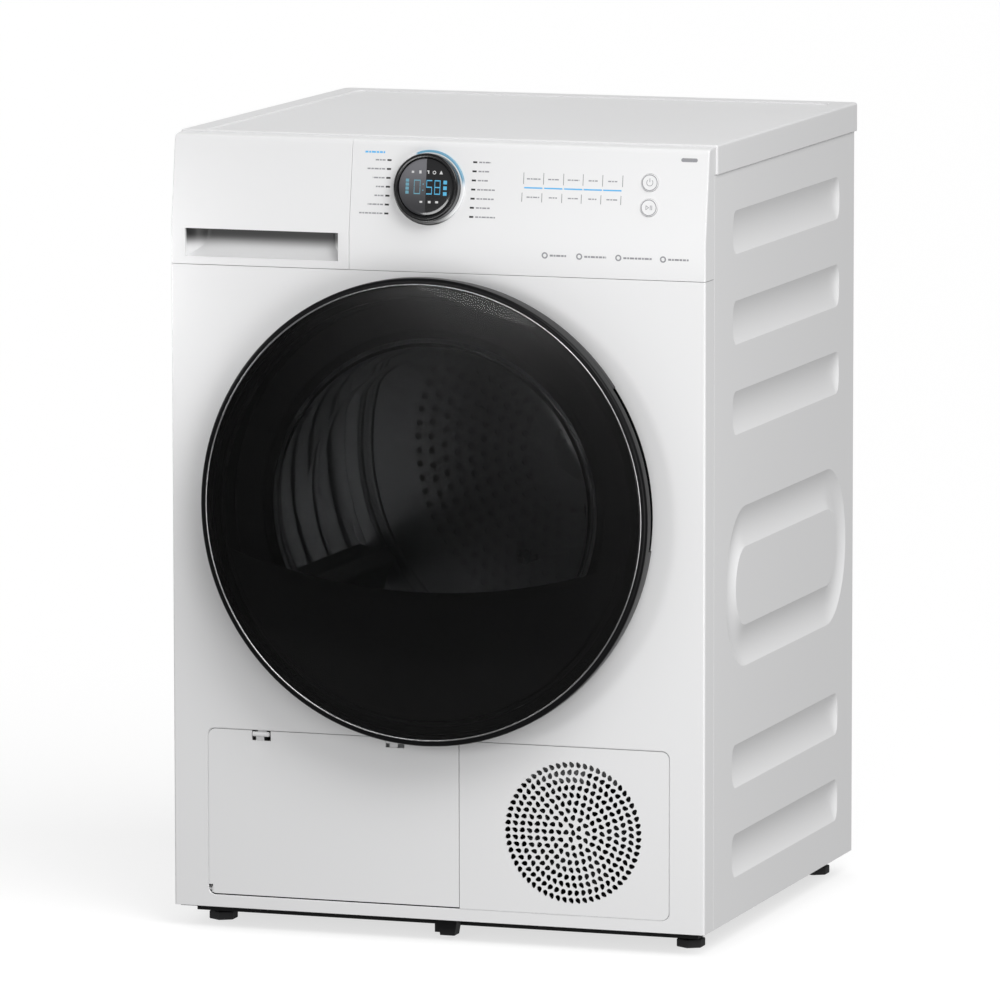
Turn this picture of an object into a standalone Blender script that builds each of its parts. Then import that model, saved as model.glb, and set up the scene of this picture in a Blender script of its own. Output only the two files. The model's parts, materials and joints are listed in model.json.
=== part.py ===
"""Free-standing front-loading heat-pump clothes dryer, built as an assembly of separate pieces.

Lengths below are millimetres and MM turns them into metres when a mesh is made. The design frame has X to
the right, Y to the back and Z up, with Y = 0 on the front panel's face and Z = 0 on the floor. The root
empty shifts it so that the whole object stands centred over the origin.
"""

import math

import bmesh
import bpy
from mathutils import Vector
from mathutils.geometry import tessellate_polygon

for old in list(bpy.data.objects):
    bpy.data.objects.remove(old, do_unlink=True)

MM = 0.001

# Cabinet
BODY_WIDTH = 595.0
BODY_DEPTH = 549.0  # front panel face to the back edge of the side panels
TOTAL_HEIGHT = 855.0  # floor to worktop, feet unscrewed by 10 mm
SHEET = 1.2
GAP = 0.3
TRAY_BOTTOM = 14.0
TRAY_FLOOR = 20.0
PANEL_BOTTOM = 23.5
FRONT_RETURN = 31.0  # depth of the front's side returns
TOP_SKIRT = 31.0
TOP_BOARD = 19.0
TOP_OVERHANG = 1.8
TOP_REAR_OVERHANG = 10.5
TOP_RIM = 25.0
TOP_RECESS = 1.5

# Control fascia and tank drawer
FASCIA_HEIGHT = 140.0
FASCIA_BAND = 39.0  # upright band below the crease
FASCIA_LEAN = 13.5  # how far the upper part leans back
FASCIA_WALL = 2.5
FASCIA_TOP_DEPTH = 36.0
DRAWER_WIDTH = 200.7
GRIP_WIDTH = 172.5
GRIP_HEIGHT = 30.0
GRIP_DEPTH = 19.5
KNOB_X = -9.0
KNOB_RISE = 50.5  # along the leaning face, from the crease to the knob's axis
KNOB_RADIUS = 35.8
KNOB_PROUD = 14.0
LENS_RADIUS = 30.4
LIGHT_RING_RADIUS = 39.7
BUTTON_RADIUS = 9.4
BUTTON_X = 234.0
POWER_RISE = 63.0
START_RISE = 36.8
BUTTON_TRAVEL = 1.2

# Door
DOOR_RADIUS = 248.5
DOOR_PROUD = 49.8
OPENING_RADIUS = DOOR_RADIUS - 48.5
BOWL_RADIUS = DOOR_RADIUS - 72.5
BOWL_DEPTH = 47.0
HINGE_INSET = 5.5  # hinge axis inside the ring's left edge
HINGE_FORWARD = 18.0  # hinge axis in front of the panel

# Service opening
SERVICE_HALF = 258.5
SERVICE_LOW = 36.8
SERVICE_HIGH = 217.3
FLAP_SPLIT = 25.0
GRILLE_X = 152.0
GRILLE_Z = (SERVICE_LOW + SERVICE_HIGH) / 2 - 1.75
GRILLE_RADIUS = min(74.5, (SERVICE_HIGH - SERVICE_LOW) / 2 - 15.75)

# Drum and drive
DRUM_WALL_GAP = 14.5
BASE_TOP = 182.5
DRUM_SHEET = 1.5
DRUM_FRONT = 62.0
DRUM_BACK_ROOM = 44.0  # drum's back edge to the rear panel
LIFTER_HEIGHT = 44.0
MOTOR_X = 20.0
MOTOR_Z = 105.0
MOTOR_RADIUS = 46.0
PULLEY_RADIUS = 8.0
IDLER_RADIUS = 14.0
ROLLER_RADIUS = 25.0
ROLLER_ANGLE = math.radians(28.0)
BELT_THICK = 2.0
BELT_WIDTH = 9.0
REAR_COVER_DEPTH = 15.0
FOOT_X = 264.0
FOOT_FRONT = 60.0
FOOT_BACK_INSET = 27.0

HALF = BODY_WIDTH / 2
SIDE_INNER = HALF - SHEET
FASCIA_BOTTOM = TOTAL_HEIGHT - FASCIA_HEIGHT
CREASE_Z = FASCIA_BOTTOM + FASCIA_BAND
FASCIA_TOP = TOTAL_HEIGHT - 5.0
LEAN = math.atan2(FASCIA_LEAN, FASCIA_TOP - CREASE_Z)
SKIRT_LOW = TOTAL_HEIGHT - TOP_SKIRT
BOARD_LOW = TOTAL_HEIGHT - TOP_BOARD
DRAWER_LEFT = -HALF
DRAWER_RIGHT = -HALF + DRAWER_WIDTH
DOOR_Z = FASCIA_BOTTOM - DOOR_RADIUS - 1.0
HINGE_X = -(DOOR_RADIUS - HINGE_INSET)
HINGE_Y = -HINGE_FORWARD
TANK_ROOM = math.hypot(DRAWER_RIGHT - 7.5, FASCIA_BOTTOM + 23.7 - DOOR_Z) - 7.0
DRUM_RADIUS = min(HALF - DRUM_WALL_GAP, DOOR_Z - BASE_TOP, TANK_ROOM)
REAR = BODY_DEPTH + GAP  # front face of the rear panel
DRUM_BACK = REAR - DRUM_BACK_ROOM
COVER_BACK = REAR + SHEET + GAP + REAR_COVER_DEPTH
Y_SHIFT = -(COVER_BACK - DOOR_PROUD) / 2
BELT_Y = REAR - 249.0
FLAP_PIN_Y = 4.6
FLAP_PIN_Z = SERVICE_LOW + 5.2

BIG = 36
SMALL = 20


# Shapes: each function returns (vertices, faces) of one closed body in the design frame

def box(x0, x1, y0, y1, z0, z1):
    verts = [(x, y, z) for x in (x0, x1) for y in (y0, y1) for z in (z0, z1)]
    faces = [(0, 1, 3, 2), (4, 6, 7, 5), (0, 4, 5, 1), (2, 3, 7, 6), (0, 2, 6, 4), (1, 5, 7, 3)]
    return verts, faces


def placed(axis, along, u, v):
    return {"x": (along, u, v), "y": (u, along, v), "z": (u, v, along)}[axis]


def prism(outline, low, high, axis="y", holes=()):
    """Extrudes an outline with holes along an axis. Outline pairs are the two other axes in X, Y, Z order."""
    loops = [list(outline)] + [list(hole) for hole in holes]
    flat = [p for loop in loops for p in loop]
    verts = [placed(axis, low, u, v) for u, v in flat] + [placed(axis, high, u, v) for u, v in flat]
    count = len(flat)
    caps = tessellate_polygon([[Vector((u, v, 0.0)) for u, v in loop] for loop in loops])
    faces = [tuple(t) for t in caps] + [tuple(count + i for i in reversed(t)) for t in caps]
    start = 0
    for loop in loops:
        for i in range(len(loop)):
            a, b = start + i, start + (i + 1) % len(loop)
            faces.append((a, b, count + b, count + a))
        start += len(loop)
    return verts, faces


def frustum(outer, inner, low, high, axis):
    """Joins two outlines of the same point count, one at each end of an axis."""
    count = len(outer)
    verts = [placed(axis, low, u, v) for u, v in outer] + [placed(axis, high, u, v) for u, v in inner]
    faces = [(i, (i + 1) % count, count + (i + 1) % count, count + i) for i in range(count)]
    faces += [tuple(range(count)), tuple(range(2 * count - 1, count - 1, -1))]
    return verts, faces


def lathe(profile, centre, segments, axis="y", start=0.0, end=None):
    """Turns a closed profile of (radius, along) pairs about an axis, or through part of a turn."""
    closed = end is None
    steps = segments if closed else segments + 1
    sweep = 2 * math.pi if closed else end - start
    verts, rows = [], []
    for i in range(steps):
        angle = start + sweep * i / segments
        row = []
        for j, (radius, along) in enumerate(profile):
            if radius < 1e-6 and i:
                row.append(rows[0][j])
                continue
            row.append(len(verts))
            u = centre[0] + radius * math.cos(angle)
            v = centre[1] + radius * math.sin(angle)
            verts.append(placed(axis, along, u, v))
        rows.append(row)
    faces = []
    for i in range(segments):
        a, b = rows[i], rows[(i + 1) % steps]
        for j in range(len(profile)):
            k = (j + 1) % len(profile)
            ring = []
            for corner in (a[j], a[k], b[k], b[j]):
                if corner not in ring:
                    ring.append(corner)
            if len(ring) > 2:
                faces.append(tuple(ring))
    if not closed:
        faces += [tuple(rows[0]), tuple(reversed(rows[-1]))]
    return verts, faces


def circle(radius, centre, segments, phase=0.0):
    steps = [phase + 2 * math.pi * i / segments for i in range(segments)]
    return [(centre[0] + radius * math.cos(a), centre[1] + radius * math.sin(a)) for a in steps]


def rounded(u0, u1, v0, v1, radius, steps=3):
    """A rectangle with round corners, anticlockwise."""
    points = []
    corners = ((u1 - radius, v1 - radius, 0), (u0 + radius, v1 - radius, 1),
               (u0 + radius, v0 + radius, 2), (u1 - radius, v0 + radius, 3))
    for cu, cv, quarter in corners:
        for i in range(steps + 1):
            a = math.pi / 2 * (quarter + i / steps)
            points.append((cu + radius * math.cos(a), cv + radius * math.sin(a)))
    return points


def hull(points):
    """Convex hull of 2-D points, anticlockwise."""
    points = sorted(set((round(u, 6), round(v, 6)) for u, v in points))

    def half(run):
        chain = []
        for p in run:
            while len(chain) > 1 and ((chain[-1][0] - chain[-2][0]) * (p[1] - chain[-2][1])
                                      - (chain[-1][1] - chain[-2][1]) * (p[0] - chain[-2][0])) <= 1e-9:
                chain.pop()
            chain.append(p)
        return chain

    lower, upper = half(points), half(reversed(points))
    return lower[:-1] + upper[:-1]


def rect(u0, u1, v0, v1):
    return [(u0, v0), (u1, v0), (u1, v1), (u0, v1)]


def merged(*shapes):
    """Several closed bodies that don't touch, as one helper mesh."""
    verts, faces = [], []
    for some, more in shapes:
        base = len(verts)
        verts += some
        faces += [tuple(base + i for i in face) for face in more]
    return verts, faces


# Objects

def empty(name, place, parent=None, turn=(0.0, 0.0, 0.0)):
    holder = bpy.data.objects.new(name, None)
    bpy.context.scene.collection.objects.link(holder)
    holder.empty_display_size = 0.03
    holder.parent = parent
    holder.location = [c * MM for c in place]
    holder.rotation_euler = turn
    return holder


def mesh_object(name, shape, origin, parent):
    verts, faces = shape
    data = bpy.data.meshes.new(name)
    built = bmesh.new()
    corners = [built.verts.new([(c - o) * MM for c, o in zip(v, origin)]) for v in verts]
    for face in faces:
        built.faces.new([corners[i] for i in face])
    bmesh.ops.recalc_face_normals(built, faces=built.faces[:])
    if built.calc_volume(signed=True) < 0:
        bmesh.ops.reverse_faces(built, faces=built.faces[:])
    built.to_mesh(data)
    built.free()
    made = bpy.data.objects.new(name, data)
    bpy.context.scene.collection.objects.link(made)
    made.parent = parent
    made.location = [o * MM for o in origin]
    return made


def material(name, colour, roughness, metallic=0.0, alpha=1.0):
    made = bpy.data.materials.new(name)
    made.use_nodes = True
    shader = made.node_tree.nodes["Principled BSDF"]
    shader.inputs["Base Color"].default_value = (*colour, 1.0)
    shader.inputs["Roughness"].default_value = roughness
    shader.inputs["Metallic"].default_value = metallic
    shader.inputs["Alpha"].default_value = alpha
    made.diffuse_color = (*colour, alpha)
    return made


WHITE_STEEL = ((0.86, 0.86, 0.87), 0.3, 0.0)
WHITE_PLASTIC = ((0.84, 0.84, 0.85), 0.35, 0.0)
BLACK_GLOSS = ((0.015, 0.015, 0.017), 0.12, 0.0)
BLACK_PLASTIC = ((0.03, 0.03, 0.032), 0.5, 0.0)
GREY_PLASTIC = ((0.45, 0.46, 0.47), 0.5, 0.0)
STEEL = ((0.62, 0.63, 0.64), 0.3, 1.0)
ZINC = ((0.5, 0.51, 0.52), 0.42, 1.0)
CHROME = ((0.8, 0.8, 0.82), 0.08, 1.0)
RUBBER = ((0.05, 0.05, 0.052), 0.75, 0.0)


def node(name, shape, finish, parent, origin=None, smooth=0.0):
    """One physical piece. Without an origin it sits at the middle of its box."""
    if origin is None:
        lows = [min(v[i] for v in shape[0]) for i in range(3)]
        highs = [max(v[i] for v in shape[0]) for i in range(3)]
        origin = [(a + b) / 2 for a, b in zip(lows, highs)]
    made = mesh_object(name, shape, origin, parent)
    made.data.materials.append(material(name + "_finish", *finish))
    if smooth:
        made.data.shade_smooth()
        made.data.set_sharp_from_angle(angle=math.radians(smooth))
    return made


def shape_with(target, shape, operation="DIFFERENCE", frame=None):
    """Cuts a helper shape from a piece, or adds it. The helper stands in the design frame by default."""
    helper = mesh_object(target.name + "_helper", shape, (0.0, 0.0, 0.0), frame or ROOT)
    helper.hide_render = True
    helper.display_type = "WIRE"
    step = target.modifiers.new(operation.title(), "BOOLEAN")
    step.operation = operation
    step.solver = "EXACT"
    step.object = helper
    return helper


ROOT = empty("dryer", (0.0, Y_SHIFT, 0.0))
FACE = empty("leaning_face", (0.0, 0.0, CREASE_Z), ROOT, (-LEAN, 0.0, 0.0))


# Outer cabinet

def build_worktop():
    over, rear = HALF + TOP_OVERHANG, REAR + TOP_REAR_OVERHANG
    top = node("worktop", box(-over, over, FASCIA_TOP_DEPTH + GAP, rear, SKIRT_LOW, TOTAL_HEIGHT),
               WHITE_PLASTIC, ROOT)
    shape_with(top, box(-over + 5.0, over - 5.0, 0.0, rear - 5.0, SKIRT_LOW - 5.0, BOARD_LOW))
    shape_with(top, prism(rounded(-over + TOP_RIM, over - TOP_RIM, FASCIA_TOP_DEPTH + 6.0,
                                  rear - TOP_RIM, 8.0), TOTAL_HEIGHT - TOP_RECESS, TOTAL_HEIGHT + 5.0, "z"))


RIB_DEPTH = 5.0
RIB_HEIGHT = 46.5
RIB_PITCH = 96.0
RIB_FRONT = 96.0
RIB_REAR_INSET = 58.0
RIB_RING_HALF = 86.0
RIB_PLATEAU_HALF = 42.0
RIB_RING_MARGIN = 23.0  # how much longer than the ribs the ring recess is, at each end


def rib_outline(y0, y1, low, high, bulge, shrink=0.0):
    """Long recess with bulged ends, in the Y, Z plane."""
    y0, y1, low, high = y0 + shrink, y1 - shrink, low + shrink, high - shrink
    mid = (low + high) / 2
    quarter = (high - low) * 0.32
    return [(y0 + bulge, low), (y1 - bulge, low), (y1 - bulge * 0.2, mid - quarter), (y1, mid),
            (y1 - bulge * 0.2, mid + quarter), (y1 - bulge, high), (y0 + bulge, high),
            (y0 + bulge * 0.2, mid + quarter), (y0, mid), (y0 + bulge * 0.2, mid - quarter)]


def build_side(name, side):
    """Pressed steel side: a sheet with front and rear flanges and stiffening ribs pushed inwards."""
    outer, inner = side * HALF, side * SIDE_INNER
    low, high = PANEL_BOTTOM, SKIRT_LOW - GAP
    front, rear = FRONT_RETURN + GAP, BODY_DEPTH
    panel = node(name, box(min(outer, side * (HALF - 14.0)), max(outer, side * (HALF - 14.0)),
                           front, rear, low, high), WHITE_STEEL, ROOT)
    deep = side * (HALF - 30.0)
    shape_with(panel, box(min(inner, deep), max(inner, deep), front + SHEET, rear - SHEET, low - 5.0,
                          high + 5.0))
    # The front flange is narrower beside the tank drawer.
    narrow = side * (HALF - 7.5)
    shape_with(panel, box(min(narrow, deep), max(narrow, deep), front - 5.0, front + 5.0, FASCIA_BOTTOM,
                          high + 5.0))
    rib_rear = rear - RIB_REAR_INSET
    ring_mid = (low + high) / 2 - 47.5
    centres = [ring_mid + RIB_RING_HALF + 102.5 + RIB_PITCH * i for i in range(3)]
    centres += [ring_mid - RIB_RING_HALF - 103.5 - RIB_PITCH * i for i in range(2)]
    pressed, recess = [], []
    for centre in centres:
        ends = (RIB_FRONT, rib_rear, centre - RIB_HEIGHT / 2, centre + RIB_HEIGHT / 2, 10.0)
        pressed.append(frustum(rib_outline(*ends, -1.2), rib_outline(*ends, 6.0),
                               side * (SIDE_INNER + 0.4), side * (SIDE_INNER - RIB_DEPTH), "x"))
        recess.append(frustum(rib_outline(*ends, -0.4), rib_outline(*ends, 8.0),
                              side * (HALF + 0.3), side * (HALF - RIB_DEPTH), "x"))
    ring = (RIB_FRONT - RIB_RING_MARGIN, rib_rear + RIB_RING_MARGIN + 5.0, ring_mid - RIB_RING_HALF,
            ring_mid + RIB_RING_HALF, 60.0)
    field = (RIB_FRONT + 14.0, rib_rear - 16.0, ring_mid - RIB_PLATEAU_HALF, ring_mid + RIB_PLATEAU_HALF,
             30.0)
    pressed.append(frustum(rib_outline(*ring, -1.2), rib_outline(*ring, 6.0),
                           side * (SIDE_INNER + 0.4), side * (SIDE_INNER - RIB_DEPTH), "x"))
    recess.append(frustum(rib_outline(*ring, -0.4), rib_outline(*ring, 8.0),
                          side * (HALF + 0.3), side * (HALF - RIB_DEPTH), "x"))
    shape_with(panel, merged(*pressed), "UNION")
    shape_with(panel, merged(*recess))
    # The plateau inside the ring recess stays level with the sheet.
    plate = frustum(rib_outline(*field, 0.6), rib_outline(*field, -8.0),
                    side * HALF, side * (HALF - RIB_DEPTH - 0.6), "x")
    shape_with(panel, plate, "UNION")
    shape_with(panel, frustum(rib_outline(*field, 1.8), rib_outline(*field, -6.4),
                              side * SIDE_INNER, side * (SIDE_INNER - RIB_DEPTH - 4.0), "x"))
    return panel


def build_front_panel():
    low, high = PANEL_BOTTOM, FASCIA_BOTTOM - GAP
    panel = node("front_panel", box(-HALF, HALF, 0.0, FRONT_RETURN, low, high), WHITE_STEEL, ROOT)
    shape_with(panel, box(-SIDE_INNER, SIDE_INNER, SHEET, FRONT_RETURN + 5.0, low + SHEET, high - SHEET))
    opening = prism(circle(OPENING_RADIUS, (0.0, DOOR_Z), BIG), -2.0, 3.0)
    service = prism(rounded(-SERVICE_HALF, SERVICE_HALF, SERVICE_LOW, SERVICE_HIGH, 8.0), -2.0, 3.0)
    strike = prism(rect(DOOR_RADIUS - 33.5, DOOR_RADIUS - 17.5, DOOR_Z - 14.0, DOOR_Z + 14.0), -2.0, 3.0)
    under = box(-SIDE_INNER, SIDE_INNER, 7.0, FRONT_RETURN + 5.0, low - 5.0, low + SHEET + 0.5)
    shape_with(panel, merged(opening, service, strike, under))


def build_rear_panel():
    low, high = PANEL_BOTTOM + 0.5, SKIRT_LOW - GAP
    arcs = []
    for i in range(6):
        a0, a1 = math.radians(60 * i + 8), math.radians(60 * i + 52)
        steps = [a0 + (a1 - a0) * k / 4 for k in range(5)]
        arcs.append([(70 * math.cos(a), DOOR_Z + 70 * math.sin(a)) for a in steps]
                    + [(150 * math.cos(a), DOOR_Z + 150 * math.sin(a)) for a in reversed(steps)])
    arcs.append(circle(55.0, (MOTOR_X, MOTOR_Z), SMALL))
    node("rear_panel", prism(rect(-HALF + 1.5, HALF - 1.5, low, high), REAR, REAR + SHEET, "y", arcs),
         ZINC, ROOT)


def build_rear_cover():
    """Dished cover that carries the hot air from the blower up to the back of the drum."""
    front, back = REAR + SHEET + GAP, COVER_BACK

    def outline(offset):
        return hull(circle(172.0 + offset, (0.0, DOOR_Z), BIG) + circle(68.0 + offset, (MOTOR_X, MOTOR_Z),
                                                                        BIG))

    cover = node("rear_duct_cover", prism(outline(0.0), front, back), ZINC, ROOT, smooth=30)
    shape_with(cover, prism(outline(-SHEET), front - 5.0, back - SHEET))
    shape_with(cover, prism(outline(8.0), front, front + SHEET, holes=[outline(-1.0)]), "UNION")


def build_base_tray():
    rear = REAR - 4.5
    tray = node("base_tray", box(-HALF + 3.5, HALF - 3.5, 9.0, rear, TRAY_BOTTOM, PANEL_BOTTOM - 0.7),
                BLACK_PLASTIC, ROOT)
    shape_with(tray, box(-HALF + 15.5, HALF - 15.5, 34.0, rear - 2.0, TRAY_BOTTOM + 2.0, 32.0), "UNION")
    shape_with(tray, box(-HALF + 19.5, HALF - 19.5, 38.0, rear - 6.0, TRAY_FLOOR, 45.0))
    nub = box(-12.0, 9.0, 14.0, 34.0, 5.0, TRAY_BOTTOM + 2.0)
    lugs = []
    for x0, x1 in ((-SERVICE_HALF - 7.0, -SERVICE_HALF - 0.9), (FLAP_SPLIT + 1.6, FLAP_SPLIT + 7.6)):
        lug = [(9.5, PANEL_BOTTOM - 2.5), (14.0, PANEL_BOTTOM - 2.5), (14.0, FLAP_PIN_Z + 5.0),
               (2.4, FLAP_PIN_Z + 5.0), (2.4, FLAP_PIN_Z - 5.0), (9.5, FLAP_PIN_Z - 8.0)]
        lugs.append(prism(lug, x0, x1, "x"))
    post = box(GRILLE_X - 7.0, GRILLE_X + 7.0, 38.5, 46.0, TRAY_FLOOR - 1.0, GRILLE_Z + 8.0)
    bosses = [lathe([(0.0, TRAY_FLOOR - 2.0), (11.0, TRAY_FLOOR - 2.0), (11.0, 40.0), (0.0, 40.0)],
                    (side * FOOT_X, y), 16, "z")
              for side in (-1, 1) for y in (FOOT_FRONT, REAR - FOOT_BACK_INSET)]
    shape_with(tray, merged(nub, post, *lugs, *bosses), "UNION")
    axle = lathe([(0.0, 15.0), (3.0, 15.0), (3.0, 40.0), (0.0, 40.0)], (GRILLE_X, GRILLE_Z), 12)
    shape_with(tray, axle, "UNION")
    pins = [lathe([(0.0, x0 - 1.0), (1.8, x0 - 1.0), (1.8, x1 + 1.0), (0.0, x1 + 1.0)],
                  (FLAP_PIN_Y, FLAP_PIN_Z), 12, "x")
            for x0, x1 in ((-SERVICE_HALF - 7.0, -SERVICE_HALF - 0.9), (FLAP_SPLIT + 1.6, FLAP_SPLIT + 7.6))]
    stems = [lathe([(0.0, 5.0), (5.3, 5.0), (5.3, 50.0), (0.0, 50.0)], (side * FOOT_X, y), 16, "z")
             for side in (-1, 1) for y in (FOOT_FRONT, REAR - FOOT_BACK_INSET)]
    shape_with(tray, merged(*pins, *stems))


def build_feet():
    for name, side, y in (("foot_front_left", -1, FOOT_FRONT), ("foot_front_right", 1, FOOT_FRONT),
                          ("foot_rear_left", -1, REAR - FOOT_BACK_INSET),
                          ("foot_rear_right", 1, REAR - FOOT_BACK_INSET)):
        x = side * FOOT_X
        foot = node(name, prism(circle(15.5, (x, y), 6, math.pi / 6), 0.0, 9.0, "z"), RUBBER, ROOT,
                    origin=(x, y, 0.0))
        shape_with(foot, lathe([(0.0, 5.0), (5.0, 5.0), (5.0, 37.0), (0.0, 37.0)], (x, y), 16, "z"), "UNION")


# Control fascia and drawer

def fascia_profile(inset=0.0, back=0.0):
    """Section of the control panel in the Y, Z plane. The inset copy runs out at the back."""
    if not inset:
        return [(0.0, FASCIA_BOTTOM + GAP), (0.0, CREASE_Z), (FASCIA_LEAN, FASCIA_TOP),
                (FASCIA_LEAN + 2.5, FASCIA_TOP + 2.0), (FASCIA_TOP_DEPTH, FASCIA_TOP + 3.0),
                (FASCIA_TOP_DEPTH, SKIRT_LOW + GAP), (FRONT_RETURN, SKIRT_LOW + GAP),
                (FRONT_RETURN, FASCIA_BOTTOM + GAP)]
    return [(inset, FASCIA_BOTTOM + GAP + inset), (inset, CREASE_Z - 0.2),
            (FASCIA_LEAN + inset * 0.8, FASCIA_TOP + 2.0 - inset * 1.1),
            (back, FASCIA_TOP + 3.0 - inset * 1.1),
            (back, FASCIA_BOTTOM + GAP + inset)]


def build_fascia():
    left, right = DRAWER_RIGHT + GAP, HALF
    panel = node("control_fascia", prism(fascia_profile(), left, right, "x"), WHITE_PLASTIC, ROOT)
    shape_with(panel, prism(fascia_profile(FASCIA_WALL, 50.0), left + FASCIA_WALL, right - FASCIA_WALL, "x"))
    holes = [lathe([(0.0, -20.0), (radius, -20.0), (radius, 20.0), (0.0, 20.0)], (x, rise), SMALL)
             for x, rise, radius in ((KNOB_X, KNOB_RISE, 12.0), (BUTTON_X, POWER_RISE, BUTTON_RADIUS + GAP),
                                     (BUTTON_X, START_RISE, BUTTON_RADIUS + GAP))]
    shape_with(panel, merged(*holes), frame=FACE)


def build_knob():
    centre = (KNOB_X, KNOB_RISE)
    here = (KNOB_X, 0.0, KNOB_RISE)
    node("knob_light_ring", lathe([(33.0, -2.3), (33.0, -GAP), (LIGHT_RING_RADIUS, -GAP),
                                   (LIGHT_RING_RADIUS, -1.4), (LIGHT_RING_RADIUS - 0.9, -2.3)], centre, BIG),
         ((0.9, 0.92, 0.94), 0.25, 0.0), FACE, here, 30)
    proud = -KNOB_PROUD
    node("knob",
         lathe([(24.0, -2.7), (24.0, -5.0), (LENS_RADIUS + 0.5, -7.0), (LENS_RADIUS + 0.5, proud + 1.2),
                        (LENS_RADIUS + 1.5, proud), (KNOB_RADIUS - 1.6, proud), (KNOB_RADIUS, proud + 1.6),
                        (KNOB_RADIUS, -2.7)], centre, BIG), BLACK_GLOSS, FACE, here, 30)
    node("display_lens",
         lathe([(0.0, proud + 1.9), (LENS_RADIUS - 1.0, proud + 1.9), (LENS_RADIUS, proud + 2.6),
                                (LENS_RADIUS, proud + 5.0), (23.6, -7.4), (23.6, -GAP), (11.6, -GAP),
                                (11.6, 9.0), (0.0, 9.0)], centre, BIG),
         ((0.02, 0.022, 0.026), 0.06, 0.0), FACE, here, 30)
    for name, rise in (("power_button", POWER_RISE), ("start_button", START_RISE)):
        node(name,
             lathe([(0.0, -1.2), (BUTTON_RADIUS - 0.6, -1.2), (BUTTON_RADIUS, -0.6), (BUTTON_RADIUS, 4.5),
                          (3.0, 4.5), (3.0, 9.3 - BUTTON_TRAVEL - GAP), (0.0, 9.3 - BUTTON_TRAVEL - GAP)],
                         (BUTTON_X, rise), SMALL),
             WHITE_PLASTIC, FACE, (BUTTON_X, 0.0, rise), 30)
    board = node("control_board", box(KNOB_X - 62.0, BUTTON_X + 40.0, 9.3, 17.0, 14.0, 84.0),
                 ((0.05, 0.22, 0.12), 0.6, 0.0), FACE)
    feet = [box(x - 3.0, x + 3.0, FASCIA_WALL + 0.6, 10.0, w - 3.0, w + 3.0)
            for x in (KNOB_X - 52.0, 60.0, BUTTON_X + 30.0) for w in (18.0, 80.0)]
    shape_with(board, merged(*feet), "UNION", FACE)


TANK_LEFT = DRAWER_LEFT + 10.5
TANK_RIGHT = DRAWER_RIGHT - 10.0
TANK_BACK = REAR - 100.0
TANK_LOW = FASCIA_BOTTOM + 27.0
TANK_HIGH = BOARD_LOW - 7.0


def build_drawer():
    left, right = DRAWER_LEFT, DRAWER_RIGHT
    grip_left = left + 16.0
    grip_right = grip_left + GRIP_WIDTH
    grip_low = CREASE_Z - GRIP_HEIGHT - 0.5
    front = node("tank_front", prism(fascia_profile(), left, right, "x"), WHITE_PLASTIC, ROOT)
    shape_with(front, prism(fascia_profile(FASCIA_WALL, 50.0), left + FASCIA_WALL, right - FASCIA_WALL, "x"))
    shape_with(front, box(grip_left - 2.5, grip_right + 2.5, 1.0, GRIP_DEPTH + 2.5, grip_low - 2.5,
                          CREASE_Z + 1.8), "UNION")
    shape_with(front, box(grip_left, grip_right, -5.0, GRIP_DEPTH, grip_low, CREASE_Z - 0.5))
    tank = node("water_tank", box(TANK_LEFT, TANK_RIGHT, GRIP_DEPTH + 2.5 + GAP, TANK_BACK, TANK_LOW,
                                  TANK_HIGH),
                ((0.72, 0.76, 0.8), 0.25, 0.0, 0.6), ROOT)
    shape_with(tank, box(TANK_LEFT + 2.0, TANK_RIGHT - 2.0, GRIP_DEPTH + 4.8, TANK_BACK - 2.0, TANK_LOW + 2.0,
                         TANK_HIGH - 2.0))
    shape_with(tank, box(TANK_LEFT + 30.0, TANK_RIGHT - 30.0, TANK_BACK - 130.0, TANK_BACK - 30.0,
                         TANK_HIGH - 5.0, TANK_HIGH + 5.0))


def build_tank_guide():
    left, right = TANK_LEFT - 4.0, TANK_RIGHT + 2.5
    guide = node("tank_guide", box(left, right, 36.0, TANK_BACK + 10.0, TANK_LOW - 3.3, TANK_LOW + 32.0),
                 GREY_PLASTIC, ROOT)
    shape_with(guide, box(left + 2.0, right - 2.0, 30.0, TANK_BACK + 5.0, TANK_LOW - GAP, TANK_LOW + 40.0))


# Door

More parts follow.
